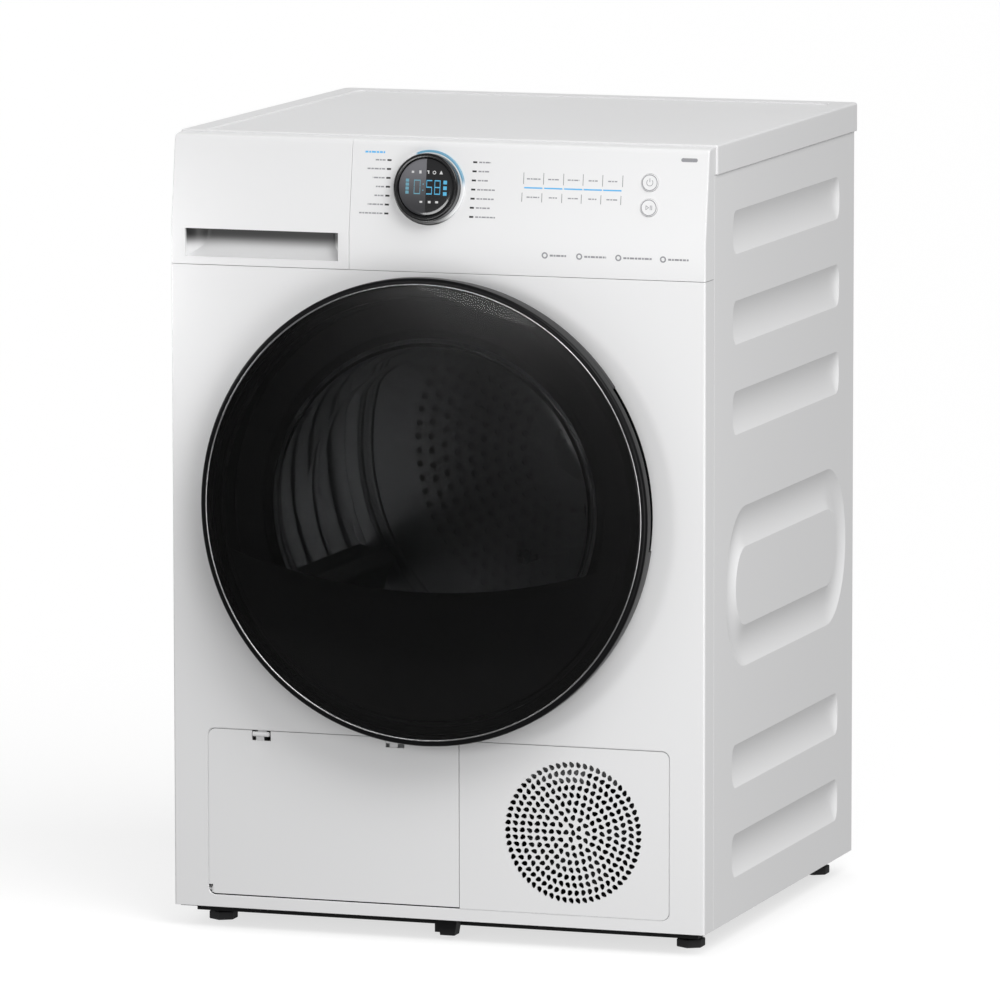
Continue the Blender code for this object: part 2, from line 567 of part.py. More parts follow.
def build_door():
    hinge = empty("door_hinge", (HINGE_X, HINGE_Y, DOOR_Z), ROOT)
    centre = (0.0, DOOR_Z)
    here = (HINGE_X, HINGE_Y, DOOR_Z)

    def hung(name, shape, finish, smooth=30):
        made = node(name, shape, finish, hinge, here, smooth)
        made.location = (0.0, 0.0, 0.0)
        return made

    r = DOOR_RADIUS
    ring = hung("door_ring", lathe([
        (r - 5.2, -46.5), (r - 1.7, -45.5), (r, -42.0), (r, -34.0), (r - 1.0, -32.0), (r - 8.0, -31.0),
        (r - 8.0, -25.0), (r - 3.0, -24.0), (r - 3.0, -14.0), (r - 8.5, -4.0), (r - 20.5, -4.0),
        (r - 20.5, -38.0), (r - 12.5, -38.0), (r - 12.5, -42.2), (r - 5.2, -42.2)], centre, BIG),
                BLACK_PLASTIC)
    half = 55.0
    shape_with(ring, box(-r - 12.0, -r + 23.5, -31.0, 5.0, DOOR_Z - half, DOOR_Z + half))
    a0, a1 = math.radians(-8.0), math.radians(34.0)
    shape_with(ring, lathe([(r - 16.0, -31.0), (r + 8.0, -31.0), (r + 8.0, -9.0), (r - 16.0, -9.0)], centre,
                           10,
                           start=a0, end=a1))
    hung("door_trim", lathe([(r - 7.8, -47.4), (r - 5.5, -47.4), (r - 5.5, -42.5), (r - 7.8, -42.5)], centre,
                            BIG), CHROME)
    dome = [(0.0, -DOOR_PROUD), (90.0, -DOOR_PROUD + 0.35), (180.0, -DOOR_PROUD + 1.5), (r - 8.1, -46.8),
            (r - 8.1, -42.5), (180.0, -45.2), (90.0, -46.3), (0.0, -46.6)]
    hung("door_glass", lathe(dome, centre, BIG), ((0.01, 0.01, 0.012), 0.03, 0.0, 0.45))
    edge = r - 20.9
    hung("door_frame",
         lathe([(edge, -37.0), (edge, -4.3), (BOWL_RADIUS + 5.0, -4.3), (BOWL_RADIUS + 5.0, -8.0),
                              (edge - 4.0, -8.0), (edge - 4.0, -37.0)], centre, BIG), BLACK_PLASTIC)
    b, d = BOWL_RADIUS, BOWL_DEPTH
    hung("door_bowl", lathe([
        (b + 14.0, -11.3), (b + 14.0, -8.3), (b, -8.3), (b - 2.0, 4.0), (b - 18.0, d - 9.0),
        (b - 36.0, d - 3.0),
        (0.0, d), (0.0, d - 3.0), (b - 37.0, d - 6.0), (b - 20.5, d - 11.0), (b - 5.0, 3.0),
        (b - 3.5, -11.3)],
        centre, BIG), ((0.75, 0.78, 0.8), 0.05, 0.0, 0.35))
    pin = 2.3
    leaf = hung("hinge_leaf", lathe([(0.0, DOOR_Z - 42.0), (pin, DOOR_Z - 42.0), (pin, DOOR_Z - 33.0),
                                     (4.6, DOOR_Z - 33.0), (4.6, DOOR_Z + 33.0), (pin, DOOR_Z + 33.0),
                                     (pin, DOOR_Z + 42.0), (0.0, DOOR_Z + 42.0)],
                                    (HINGE_X, HINGE_Y), 16, "z"), ZINC)
    shape_with(leaf, box(HINGE_X + 1.0, -r + 20.3, HINGE_Y - 3.0, HINGE_Y + 3.0, DOOR_Z - 30.0,
                         DOOR_Z + 30.0),
               "UNION")
    strike = hung("door_strike", box(r - 39.5, r - 22.5, -4.0, -2.0, DOOR_Z - 11.0, DOOR_Z + 11.0), ZINC, 0)
    shape_with(strike, box(r - 29.5, r - 24.0, -3.0, 10.0, DOOR_Z - 6.0, DOOR_Z + 6.0), "UNION")

    bracket = node("hinge_bracket", box(HINGE_X - 12.0, HINGE_X + 7.0, -2.8, -GAP, DOOR_Z - 50.0,
                                        DOOR_Z + 50.0),
                   ZINC, ROOT, smooth=30)
    arms = [box(HINGE_X - 4.0, HINGE_X + 4.0, HINGE_Y, -1.0, DOOR_Z + z0, DOOR_Z + z0 + 8.5)
            for z0 in (-42.5, 34.0)]
    shape_with(bracket, merged(*arms), "UNION")
    knuckles = [lathe([(0.0, DOOR_Z + z0), (4.6, DOOR_Z + z0), (4.6, DOOR_Z + z0 + 8.5),
                       (0.0, DOOR_Z + z0 + 8.5)],
                      (HINGE_X, HINGE_Y), 16, "z") for z0 in (-42.5, 34.0)]
    shape_with(bracket, merged(*knuckles), "UNION")
    shape_with(bracket, lathe([(0.0, DOOR_Z - 60.0), (pin + GAP, DOOR_Z - 60.0), (pin + GAP, DOOR_Z + 60.0),
                               (0.0, DOOR_Z + 60.0)], (HINGE_X, HINGE_Y), 16, "z"))
    lock = node("door_lock", box(r - 42.5, r - 8.5, SHEET + GAP, 27.0, DOOR_Z - 24.0, DOOR_Z + 24.0),
                BLACK_PLASTIC, ROOT)
    shape_with(lock, box(r - 36.5, r - 15.5, 0.0, 22.0, DOOR_Z - 14.0, DOOR_Z + 14.0))
    node("door_seal",
         lathe([(BOWL_RADIUS + 9.0, -3.6), (OPENING_RADIUS - 3.0, -3.6), (OPENING_RADIUS - GAP - 0.3, 0.0),
                             (OPENING_RADIUS - 1.0, 3.0), (OPENING_RADIUS - 8.0, 3.0),
                (BOWL_RADIUS + 9.0, 0.0)],
                            centre, BIG), RUBBER, ROOT, smooth=40)


# Service opening

def build_service():
    split, low, high = FLAP_SPLIT, SERVICE_LOW + 1.4, SERVICE_HIGH - 0.5
    pin = (FLAP_PIN_Y, FLAP_PIN_Z)
    hinge = empty("flap_hinge", (0.0, FLAP_PIN_Y, FLAP_PIN_Z), ROOT)
    outline = [(split - 0.4, low), (split - 0.4, high)]
    outline += [p for p in rounded(-SERVICE_HALF + 0.3, split, low, high, 8.0) if p[0] < -SERVICE_HALF + 9.0]
    flap = node("service_flap", prism(outline, 0.0, 2.2), WHITE_PLASTIC, hinge, (0.0, FLAP_PIN_Y, FLAP_PIN_Z))
    flap.location = (0.0, 0.0, 0.0)
    centres = (-198.0, -47.0)
    notches = [box(x - 10.5, x + 10.5, -3.0, 10.0, high - 12.5, high + 5.0) for x in centres]
    # Relief in the outer edge, which swings past the round corner of the front's opening.
    notches.append(box(-SERVICE_HALF - 1.0, -SERVICE_HALF + 5.3, -1.0, 3.0, FLAP_PIN_Z - 5.0,
                       FLAP_PIN_Z + 6.4))
    ribs = [box(-SERVICE_HALF + 16.0, split - 12.0, 1.5, 7.0, z, z + 2.2) for z in (low + 22.0, high - 32.0)]
    blocks = [box(x0, x1, 1.5, 7.2, low + 0.8, FLAP_PIN_Z + 3.0)
              for x0, x1 in ((-SERVICE_HALF + 3.0, -SERVICE_HALF + 12.0), (split - 10.0, split - 1.5))]
    shape_with(flap, merged(*ribs, *blocks), "UNION")
    shape_with(flap, merged(*notches))
    pins = [lathe([(0.0, x0), (1.5, x0), (1.5, x1), (0.0, x1)], pin, 12, "x")
            for x0, x1 in ((-SERVICE_HALF - 5.5, -SERVICE_HALF + 6.0), (split - 6.0, split + 6.4))]
    shape_with(flap, merged(*pins), "UNION")
    for name, x in (("flap_latch_left", centres[0]), ("flap_latch_right", centres[1])):
        latch = node(name, lathe([(0.0, x - 9.3), (2.6, x - 9.3), (2.6, x + 9.3), (0.0, x + 9.3)],
                                 (0.4, high - 3.6), 16, "x"), WHITE_PLASTIC, hinge,
                     (0.0, FLAP_PIN_Y, FLAP_PIN_Z), 30)
        latch.location = (0.0, 0.0, 0.0)
        shape_with(latch, box(x - 7.0, x + 7.0, 0.4, 4.6, high - 5.6, high - 1.0), "UNION")
        shape_with(latch, box(x - 7.0, x + 7.0, 2.6, 4.6, high - 20.0, high - 2.0), "UNION")
        shape_with(latch, box(x - 5.0, x + 5.0, 3.4, 4.6, high - 2.5, high + 0.2), "UNION")

    left, right, floor = split + 0.4, SERVICE_HALF - 0.3, SERVICE_LOW + 0.3
    outline = [p for p in rounded(split, right, floor, high, 8.0) if p[0] > right - 9.0]
    outline += [(left, floor), (left, high)]
    outline.sort(key=lambda p: math.atan2(p[1] - GRILLE_Z, p[0] - GRILLE_X))
    holes = [circle(4.6, (GRILLE_X, GRILLE_Z), 6, 0.2)]
    for ring_no, count in ((1, 6), (2, 12), (3, 18)):
        radius = (GRILLE_RADIUS - 9.0) * ring_no / 3
        for i in range(count):
            a = 2 * math.pi * (i + 0.5 * (ring_no % 2)) / count
            holes.append(circle(4.6, (GRILLE_X + radius * math.cos(a), GRILLE_Z + radius * math.sin(a)), 6,
                                a + 0.1))
    grille = node("service_grille", prism(outline, 0.0, 2.0, "y", holes), WHITE_PLASTIC, ROOT)
    lips = [box(left + 12.0, right - 8.0, 1.2, 6.5, z, z + 2.0) for z in (floor + 8.0, high - 12.0)]
    shape_with(grille, merged(*lips), "UNION")

    fan = node("cooling_fan", lathe([(3.4, 14.0), (16.0, 14.0), (18.0, 16.0), (18.0, 32.0), (3.4, 32.0)],
                                    (GRILLE_X, GRILLE_Z), SMALL), BLACK_PLASTIC, ROOT,
               origin=(GRILLE_X, 23.0, GRILLE_Z))
    blades = []
    for i in range(5):
        a = 2 * math.pi * i / 5
        points = []
        for reach, lead in ((16.0, -0.28), (62.0, -0.22), (62.0, 0.22), (16.0, 0.28)):
            points.append((reach, a + lead))
        low_face = [(GRILLE_X + q * math.cos(t), 16.0 + 12.0 * (j > 1), GRILLE_Z + q * math.sin(t))
                    for j, (q, t) in enumerate(points)]
        verts = low_face + [(x, y + 2.0, z) for x, y, z in low_face]
        blades.append((verts, [(0, 1, 2, 3), (7, 6, 5, 4), (0, 4, 5, 1), (1, 5, 6, 2), (2, 6, 7, 3),
                               (3, 7, 4, 0)]))
    shape_with(fan, merged(*blades), "UNION")


# Drum

def build_drum():
    centre = (0.0, DOOR_Z)
    r, s = DRUM_RADIUS, DRUM_SHEET
    front, back = DRUM_FRONT, DRUM_BACK
    neck = r - 17.0
    bead = front + 62.0
    axis = empty("drum_axis", (0.0, (front + back) / 2, DOOR_Z), ROOT)
    here = (0.0, (front + back) / 2, DOOR_Z)

    def turned(name, shape, finish, smooth=0.0):
        made = node(name, shape, finish, axis, here, smooth)
        made.location = (0.0, 0.0, 0.0)
        return made

    outer = [(neck, front), (neck, front + 10.0), (r, front + 26.0), (r, bead - 6.0), (r - 4.0, bead - 2.0),
             (r - 4.0, bead + 6.0), (r, bead + 10.0), (r, back - 22.0), (r, back)]
    inner = [(r - 8.0, back), (r - 8.0, back - s), (r - s, back - s), (r - s, back - 22.0),
             (r - s, bead + 10.4),
             (r - 4.0 - s, bead + 6.4), (r - 4.0 - s, bead - 2.4), (r - s, bead - 6.4), (r - s, front + 26.4),
             (neck - s, front + 10.4), (neck - s, front)]
    turned("drum_shell", lathe(outer + inner, centre, BIG), STEEL, 30)
    holes = []
    for count, radius in ((6, 75.0), (12, 140.0), (16, 205.0)):
        for i in range(count):
            a = 2 * math.pi * (i + 0.5) / count
            holes.append(circle(10.0, (radius * math.cos(a), DOOR_Z + radius * math.sin(a)), 5, a))
    wall = turned("drum_rear_wall", prism(circle(r - s - GAP, centre, BIG), back - s - GAP - 1.8,
                                          back - s - GAP, "y",
                                          holes), STEEL)
    shape_with(wall,
               lathe([(0.0, back - 12.0), (30.0, back - 10.0), (34.0, back - 3.0), (34.0, back - s - 1.0),
                            (24.0, back + 8.0), (10.0, back + 10.0), (9.0, back + 12.0), (9.0, REAR - 6.0),
                            (0.0, REAR - 6.0)], centre, SMALL), "UNION")
    for i, name in enumerate(("drum_lifter_top", "drum_lifter_right", "drum_lifter_left")):
        a = math.pi / 2 - 2 * math.pi * i / 3
        reach = (r - s) * math.cos(math.pi / BIG) - 2.2
        section = [(-31.0, reach), (31.0, reach), (17.0, reach - 20.0), (9.0, reach - LIFTER_HEIGHT),
                   (-9.0, reach - LIFTER_HEIGHT), (-17.0, reach - 20.0)]
        low, high = bead + 20.0, back - 30.0
        verts = []
        for y, shrink in ((low, 0.0), (high, 0.0)):
            for t, radial in section:
                verts.append((t * math.sin(a) + radial * math.cos(a), y + shrink,
                              DOOR_Z - t * math.cos(a) + radial * math.sin(a)))
        for j in (2, 3, 4, 5):
            drop = 14.0 if j in (2, 5) else 32.0
            x, y, z = verts[j]
            verts[j] = (x, y + drop, z)
            x, y, z = verts[6 + j]
            verts[6 + j] = (x, y - drop, z)
        faces = [(k, (k + 1) % 6, 6 + (k + 1) % 6, 6 + k) for k in range(6)]
        caps = [(0, 1, 2), (0, 2, 5), (5, 2, 3), (5, 3, 4)]
        faces += caps + [tuple(6 + k for k in reversed(cap)) for cap in caps]
        turned(name, (verts, faces), GREY_PLASTIC)

    node("drum_bearing",
         lathe([(9.3, REAR - 20.0), (18.0, REAR - 20.0), (20.0, REAR - 6.0), (46.0, REAR - 4.0),
                                (46.0, REAR - GAP), (9.3, REAR - GAP)], centre, SMALL), ZINC, ROOT, smooth=30)
    node("drum_front_seal",
         lathe([(neck - 12.0, front - 8.7), (neck - 1.5, front - 8.7), (neck - 1.5, front - GAP),
                                   (neck - 12.0, front - GAP)], centre, BIG),
         ((0.35, 0.34, 0.33), 0.9, 0.0), ROOT, smooth=30)


def roller_places():
    reach = DRUM_RADIUS + ROLLER_RADIUS + GAP
    return [(side * reach * math.sin(ROLLER_ANGLE),
             DOOR_Z - reach * math.cos(ROLLER_ANGLE)) for side in (-1, 1)]


def build_bulkhead():
    """Front drum support: a plate with the loading collar, the roller axles and the lint filter's housing."""
    front, back = 3.0 + 2 * GAP, DRUM_FRONT - 9.0
    low = DOOR_Z - DRUM_RADIUS - 12.0
    high = DOOR_Z + DRUM_RADIUS - 50.0
    half = SIDE_INNER - RIB_DEPTH - GAP
    plate = prism(rounded(-half, half, low, high, 20.0), back - 3.0, back)
    wall = node("front_bulkhead", plate, GREY_PLASTIC, ROOT)
    r = OPENING_RADIUS - 4.0
    shape_with(wall, lathe([(r - 6.0, front), (r + 3.0, front), (r + 3.0, back - 1.0), (r - 6.0, back - 1.0)],
                           (0.0, DOOR_Z), BIG), "UNION")
    floor = DOOR_Z - r
    housing = box(-104.0, 104.0, 9.0, 41.0, floor - 92.0, floor + 25.0)
    shape_with(wall, housing, "UNION")
    axles = [lathe([(0.0, back - 1.5), (4.0, back - 1.5), (4.0, DRUM_FRONT + 42.0), (0.0, DRUM_FRONT + 42.0)],
                   place, 12) for place in roller_places()]
    wings = [box(x - 14.0, x + 14.0, back - 3.0, back, z - 14.0, low + 3.0) for x, z in roller_places()]
    shape_with(wall, merged(*wings), "UNION")
    shape_with(wall, merged(*axles), "UNION")
    shape_with(wall, prism(circle(r, (0.0, DOOR_Z), BIG), 0.0, 60.0))
    shape_with(wall, box(-101.5, 101.5, 11.5, 38.5, floor - 97.0, floor + 40.0))


def build_filter():
    r = OPENING_RADIUS - 4.0
    floor = DOOR_Z - r
    body = node("lint_filter", box(-99.0, 99.0, 14.0, 36.0, floor - 84.0, floor + 2.0), GREY_PLASTIC, ROOT)
    shape_with(body, box(-97.0, 97.0, 16.0, 34.0, floor - 82.0, floor + 10.0))
    shape_with(body, box(-100.8, 100.8, 12.2, 17.0, floor - 2.0, floor + 4.0), "UNION")


# Drive

def build_drive():
    centre, motor = (0.0, DOOR_Z), (MOTOR_X, MOTOR_Z)
    inner, thick = DRUM_RADIUS + GAP, BELT_THICK

    def loop(offset):
        return hull(circle(inner + offset, centre, BIG) + circle(PULLEY_RADIUS + GAP + offset, motor, SMALL))

    node("drum_belt", prism(loop(thick), BELT_Y, BELT_Y + BELT_WIDTH, "y", [loop(0.0)]), RUBBER, ROOT,
         smooth=30)
    body0, body1 = BELT_Y + 22.0, BELT_Y + 132.0
    wheel = BELT_Y + 156.0
    r = PULLEY_RADIUS
    spin = empty("rotor_axis", (MOTOR_X, (body0 + body1) / 2, MOTOR_Z), ROOT)
    here = (MOTOR_X, (body0 + body1) / 2, MOTOR_Z)
    shaft = node("motor_pulley", lathe([
        (0.0, BELT_Y - 4.0), (r + 3.0, BELT_Y - 4.0), (r + 3.0, BELT_Y - 1.0), (r, BELT_Y - 0.5),
        (r, BELT_Y + BELT_WIDTH + 0.5), (r + 3.0, BELT_Y + BELT_WIDTH + 1.0),
        (r + 3.0, BELT_Y + BELT_WIDTH + 4.0),
        (6.0, BELT_Y + BELT_WIDTH + 4.0), (6.0, wheel + 34.0), (0.0, wheel + 34.0)], motor, SMALL),
        ZINC, spin, here, 30)
    shaft.location = (0.0, 0.0, 0.0)
    fan = node("blower_wheel", lathe([(6.3, wheel), (60.0, wheel), (60.0, wheel + 2.0), (14.0, wheel + 2.0),
                                      (12.0, wheel + 30.0), (6.3, wheel + 30.0)], motor, SMALL),
               BLACK_PLASTIC, spin, here)
    fan.location = (0.0, 0.0, 0.0)
    teeth = []
    for i in range(18):
        a = 2 * math.pi * i / 18
        for radius, lead in ((44.0, 0.0), (59.5, -0.10), (59.5, -0.04), (44.0, 0.09)):
            teeth.append((MOTOR_X + radius * math.cos(a + lead), MOTOR_Z + radius * math.sin(a + lead)))
    shape_with(fan, prism(teeth, wheel + 1.0, wheel + 32.0, "y", [circle(42.0, motor, 18)]), "UNION")

    m = MOTOR_RADIUS
    motor_body = node("motor", lathe([(6.3, body0), (30.0, body0), (m, body0 + 14.0), (m, body1 - 14.0),
                                      (30.0, body1), (6.3, body1)], motor, SMALL), ZINC, ROOT, smooth=30)
    feet = [box(MOTOR_X - 34.0, MOTOR_X + 34.0, y, y + 14.0, TRAY_FLOOR + 0.4, MOTOR_Z - 36.0)
            for y in (body0 + 18.0, body1 - 34.0)]
    shape_with(motor_body, merged(*feet), "UNION")
    # The idler rides on an arm beside the belt's slack run.
    ix, iz = idler_place()
    arm = hull(circle(9.0, (ix, iz), 12) + circle(9.0, (MOTOR_X - 28.0, MOTOR_Z - 8.0), 12))
    shape_with(motor_body, prism(arm, body0 + 6.0, body0 + 16.0), "UNION")
    shape_with(motor_body,
               lathe([(0.0, BELT_Y - 3.0), (3.0, BELT_Y - 3.0), (3.0, body0 + 8.0), (0.0, body0 + 8.0)],
                                 (ix, iz), 12), "UNION")
    node("idler_pulley", lathe([(3.3, BELT_Y - 1.5), (IDLER_RADIUS, BELT_Y - 1.5),
                                (IDLER_RADIUS, BELT_Y + BELT_WIDTH + 1.5), (3.3, BELT_Y + BELT_WIDTH + 1.5)],
                               (ix, iz), SMALL), BLACK_PLASTIC, ROOT, (ix, BELT_Y + BELT_WIDTH / 2, iz), 30)
    for name, (x, z) in zip(("roller_left", "roller_right"), roller_places()):
        node(name, lathe([(4.3, DRUM_FRONT + 28.0), (ROLLER_RADIUS, DRUM_FRONT + 28.0),
                          (ROLLER_RADIUS, DRUM_FRONT + 40.0), (4.3, DRUM_FRONT + 40.0)], (x, z), SMALL),
             RUBBER, ROOT, (x, DRUM_FRONT + 34.0, z), 30)

    back = REAR - GAP
    y0 = body1 + 12.0
    housing = node("blower_housing", prism(circle(72.0, motor, SMALL), y0, back), GREY_PLASTIC, ROOT)
    shape_with(housing, box(-122.0, MOTOR_X, y0, back - 30.0, 62.0, 150.0), "UNION")
    shape_with(housing, box(MOTOR_X - 40.0, MOTOR_X + 40.0, y0 + 10.0, back - 15.0, TRAY_FLOOR + 0.4, 60.0),
               "UNION")
    shape_with(housing, prism(circle(69.5, motor, SMALL), y0 + 2.5, back + 5.0))
    shape_with(housing, box(-119.5, MOTOR_X, y0 + 2.5, back - 32.5, 64.5, 147.5))
    shape_with(housing, box(-114.0, DUCT_RIGHT - 5.0, y0 - 5.0, y0 + 5.0, 66.0, DUCT_REAR_HIGH - 8.0))
    shape_with(housing, prism(circle(10.0, motor, SMALL), y0 - 5.0, y0 + 5.0))


def idler_place():
    """Centre of the idler, outside the belt's left run and a little above the motor pulley."""
    big, small = DRUM_RADIUS + GAP + BELT_THICK, PULLEY_RADIUS + GAP + BELT_THICK
    dx, dz = -MOTOR_X, DOOR_Z - MOTOR_Z
    span = math.hypot(dx, dz)
    toward = math.atan2(dz, dx)
    # Outward normal of the left run, common to both circles.
    normal = toward + math.pi - math.acos((big - small) / span)
    nx, nz = math.cos(normal), math.sin(normal)
    run = 62.0
    tx, tz = (nz, -nx) if (nz * dx - nx * dz) > 0 else (-nz, nx)
    reach = small + IDLER_RADIUS + GAP
    return MOTOR_X + nx * reach + tx * run, MOTOR_Z + nz * reach + tz * run


# Heat pump

DUCT_LEFT = -251.0
DUCT_RIGHT = -62.0
DUCT_HIGH = roller_places()[0][1] - ROLLER_RADIUS - 4.3
DUCT_REAR_HIGH = 140.0  # lower where the belt passes over it


def build_heat_pump():
    y_duct = BELT_Y + 143.7
    duct = node("air_duct", box(DUCT_LEFT, DUCT_RIGHT, 14.0, y_duct, TRAY_FLOOR + 17.0, DUCT_HIGH),
                GREY_PLASTIC, ROOT)
    shape_with(duct, box(DUCT_LEFT + 2.5, DUCT_RIGHT - 2.5, 10.0, y_duct - 2.5, TRAY_FLOOR - 5.0,
                         DUCT_HIGH - 2.5))
    shape_with(duct, box(DUCT_LEFT - 5.0, DUCT_RIGHT + 5.0, 268.0, y_duct + 5.0, DUCT_REAR_HIGH,
                         DUCT_HIGH + 5.0))
    shape_with(duct, box(DUCT_LEFT, DUCT_RIGHT, 265.5, y_duct, DUCT_REAR_HIGH - 2.5, DUCT_REAR_HIGH), "UNION")
    shape_with(duct, box(DUCT_LEFT, DUCT_RIGHT, 265.5, 268.0, DUCT_REAR_HIGH - 2.0, DUCT_HIGH), "UNION")
    shape_with(duct, box(-100.0, DUCT_RIGHT - 5.0, 18.0, 38.0, DUCT_HIGH - 5.0, DUCT_HIGH + 5.0))
    shape_with(duct, box(-114.0, DUCT_RIGHT - 5.0, y_duct - 5.0, y_duct + 5.0, 66.0, DUCT_REAR_HIGH - 8.0))
    skirt = merged(box(DUCT_LEFT, DUCT_LEFT + 2.5, 39.0, y_duct, TRAY_FLOOR + 0.4, TRAY_FLOOR + 18.0),
                   box(DUCT_RIGHT - 2.5, DUCT_RIGHT, 39.0, y_duct, TRAY_FLOOR + 0.4, TRAY_FLOOR + 18.0))
    shape_with(duct, skirt, "UNION")
    node("inner_cover", box(DUCT_LEFT + 1.0, DUCT_RIGHT - 1.0, 10.8, 13.7, TRAY_FLOOR + 18.0,
                            DUCT_HIGH - 1.0),
         GREY_PLASTIC, ROOT)
    for name, y0, y1, finish in (("evaporator", 78.0, 146.0, ((0.72, 0.74, 0.76), 0.4, 1.0)),
                                 ("condenser", 168.0, 254.0, ((0.72, 0.74, 0.76), 0.4, 1.0))):
        left, right = DUCT_LEFT + 6.0, DUCT_RIGHT - 6.0
        pitch = (right - left - 6.0) / 11
        starts = [left + 5.0 + pitch * i for i in range(11)]
        slots = [rect(start, start + pitch - 4.0, 30.0, DUCT_HIGH - 12.0) for start in starts]
        node(name, prism(rect(left, right, TRAY_FLOOR + 0.4, DUCT_HIGH - 4.5), y0, y1, "y", slots), finish,
             ROOT)
    cx, cy = 178.0, 192.0
    pump = node("compressor", lathe([(0.0, 40.0), (50.0, 40.0), (55.0, 48.0), (55.0, 168.0), (40.0, 186.0),
                                     (0.0, 192.0)], (cx, cy), SMALL, "z"), BLACK_PLASTIC, ROOT, smooth=35)
    shape_with(pump, box(cx - 58.0, cx + 58.0, cy - 30.0, cy + 30.0, 32.0, 42.0), "UNION")
    feet = [lathe([(0.0, TRAY_FLOOR + 0.4), (9.0, TRAY_FLOOR + 0.4), (9.0, 34.0), (0.0, 34.0)],
                  (cx + dx, cy + dy), 12, "z") for dx in (-46.0, 46.0) for dy in (-18.0, 18.0)]
    shape_with(pump, merged(*feet), "UNION")
    sump = node("condensate_pump", box(-245.0, -180.0, REAR - 84.0, REAR - 28.0, TRAY_FLOOR + 0.4, 66.0),
                BLACK_PLASTIC, ROOT)
    shape_with(sump, lathe([(0.0, 60.0), (24.0, 60.0), (24.0, 92.0), (0.0, 92.0)],
                           (-213.0, REAR - 56.0), 16, "z"), "UNION")
    shape_with(sump, lathe([(0.0, REAR - 60.0), (5.0, REAR - 60.0), (5.0, REAR - 16.0), (0.0, REAR - 16.0)],
                           (-213.0, 84.0), 12, "y"), "UNION")
    gland = node("power_inlet", prism(rounded(222.0, 268.0, SKIRT_LOW - 62.0, SKIRT_LOW - 30.0, 5.0),
                                      REAR + SHEET + GAP, REAR + SHEET + 6.0), BLACK_PLASTIC, ROOT)
    shape_with(gland, lathe([(0.0, REAR + SHEET + 4.0), (9.0, REAR + SHEET + 4.0), (7.0, REAR + SHEET + 14.0),
                             (0.0, REAR + SHEET + 14.0)], (245.0, SKIRT_LOW - 46.0), 16), "UNION")


build_worktop()
build_side("side_panel_left", -1)
build_side("side_panel_right", 1)
build_front_panel()
build_rear_panel()
build_rear_cover()
build_base_tray()
build_feet()
build_fascia()
build_knob()
build_drawer()
build_tank_guide()
build_door()
build_service()
build_drum()
build_bulkhead()
build_filter()
build_drive()
build_heat_pump()
bpy.context.view_layer.update()
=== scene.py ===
"""Looks of a free-standing front-loading clothes dryer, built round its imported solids.

Lengths are millimetres in the dryer's own frame: X to the right, Y to the back from the front panel's face and
Z up from the floor. MM and FRONT turn them into the frame's metres.
"""

import collections
import itertools
import json
import math

import bpy
from mathutils import Matrix, Vector

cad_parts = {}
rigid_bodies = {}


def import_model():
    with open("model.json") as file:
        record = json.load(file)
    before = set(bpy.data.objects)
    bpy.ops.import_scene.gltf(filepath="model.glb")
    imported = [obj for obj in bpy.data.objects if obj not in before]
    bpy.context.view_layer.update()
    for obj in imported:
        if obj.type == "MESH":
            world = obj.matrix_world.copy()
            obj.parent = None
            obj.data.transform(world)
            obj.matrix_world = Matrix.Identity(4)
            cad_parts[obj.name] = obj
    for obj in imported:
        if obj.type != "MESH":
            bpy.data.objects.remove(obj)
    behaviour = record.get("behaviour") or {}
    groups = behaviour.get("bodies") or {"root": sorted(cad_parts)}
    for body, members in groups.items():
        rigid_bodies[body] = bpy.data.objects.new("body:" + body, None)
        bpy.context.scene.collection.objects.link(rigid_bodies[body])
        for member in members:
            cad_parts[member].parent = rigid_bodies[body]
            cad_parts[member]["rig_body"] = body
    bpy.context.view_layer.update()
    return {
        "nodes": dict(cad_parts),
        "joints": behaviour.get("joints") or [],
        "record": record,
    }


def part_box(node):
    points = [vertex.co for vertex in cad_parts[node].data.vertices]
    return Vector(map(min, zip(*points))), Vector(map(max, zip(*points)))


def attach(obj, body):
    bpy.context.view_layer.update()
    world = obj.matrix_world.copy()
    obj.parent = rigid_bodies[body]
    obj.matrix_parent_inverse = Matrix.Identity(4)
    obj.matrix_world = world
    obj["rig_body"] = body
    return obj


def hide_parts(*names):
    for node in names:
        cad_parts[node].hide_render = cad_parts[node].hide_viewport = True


bl_info = {
    "name": "Clothes dryer looks",
    "version": (1, 0, 0),
    "blender": (4, 5, 0),
    "location": "View3D > Sidebar > Dryer",
    "description": "Models and finishes the visible pieces of a clothes dryer round its solids",
    "category": "Object",
}

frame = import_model()

MM = 0.001
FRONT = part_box("front_panel")[0].y
STEPS = 144  # round pieces
FINE = 40  # small round pieces
TAU = 2 * math.pi
Box = collections.namedtuple("Box", "x0 x1 y0 y1 z0 z1")


def cad(node):
    """A solid's box in millimetres."""
    low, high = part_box(node)
    return Box(low.x / MM, high.x / MM, (low.y - FRONT) / MM, (high.y - FRONT) / MM, low.z / MM, high.z / MM)


def world(place):
    return Vector((place[0] * MM, FRONT + place[1] * MM, place[2] * MM))


def flat(place):
    return Vector(place) * MM


def joint(name):
    return next(j for j in frame["joints"] if j["name"] == name)


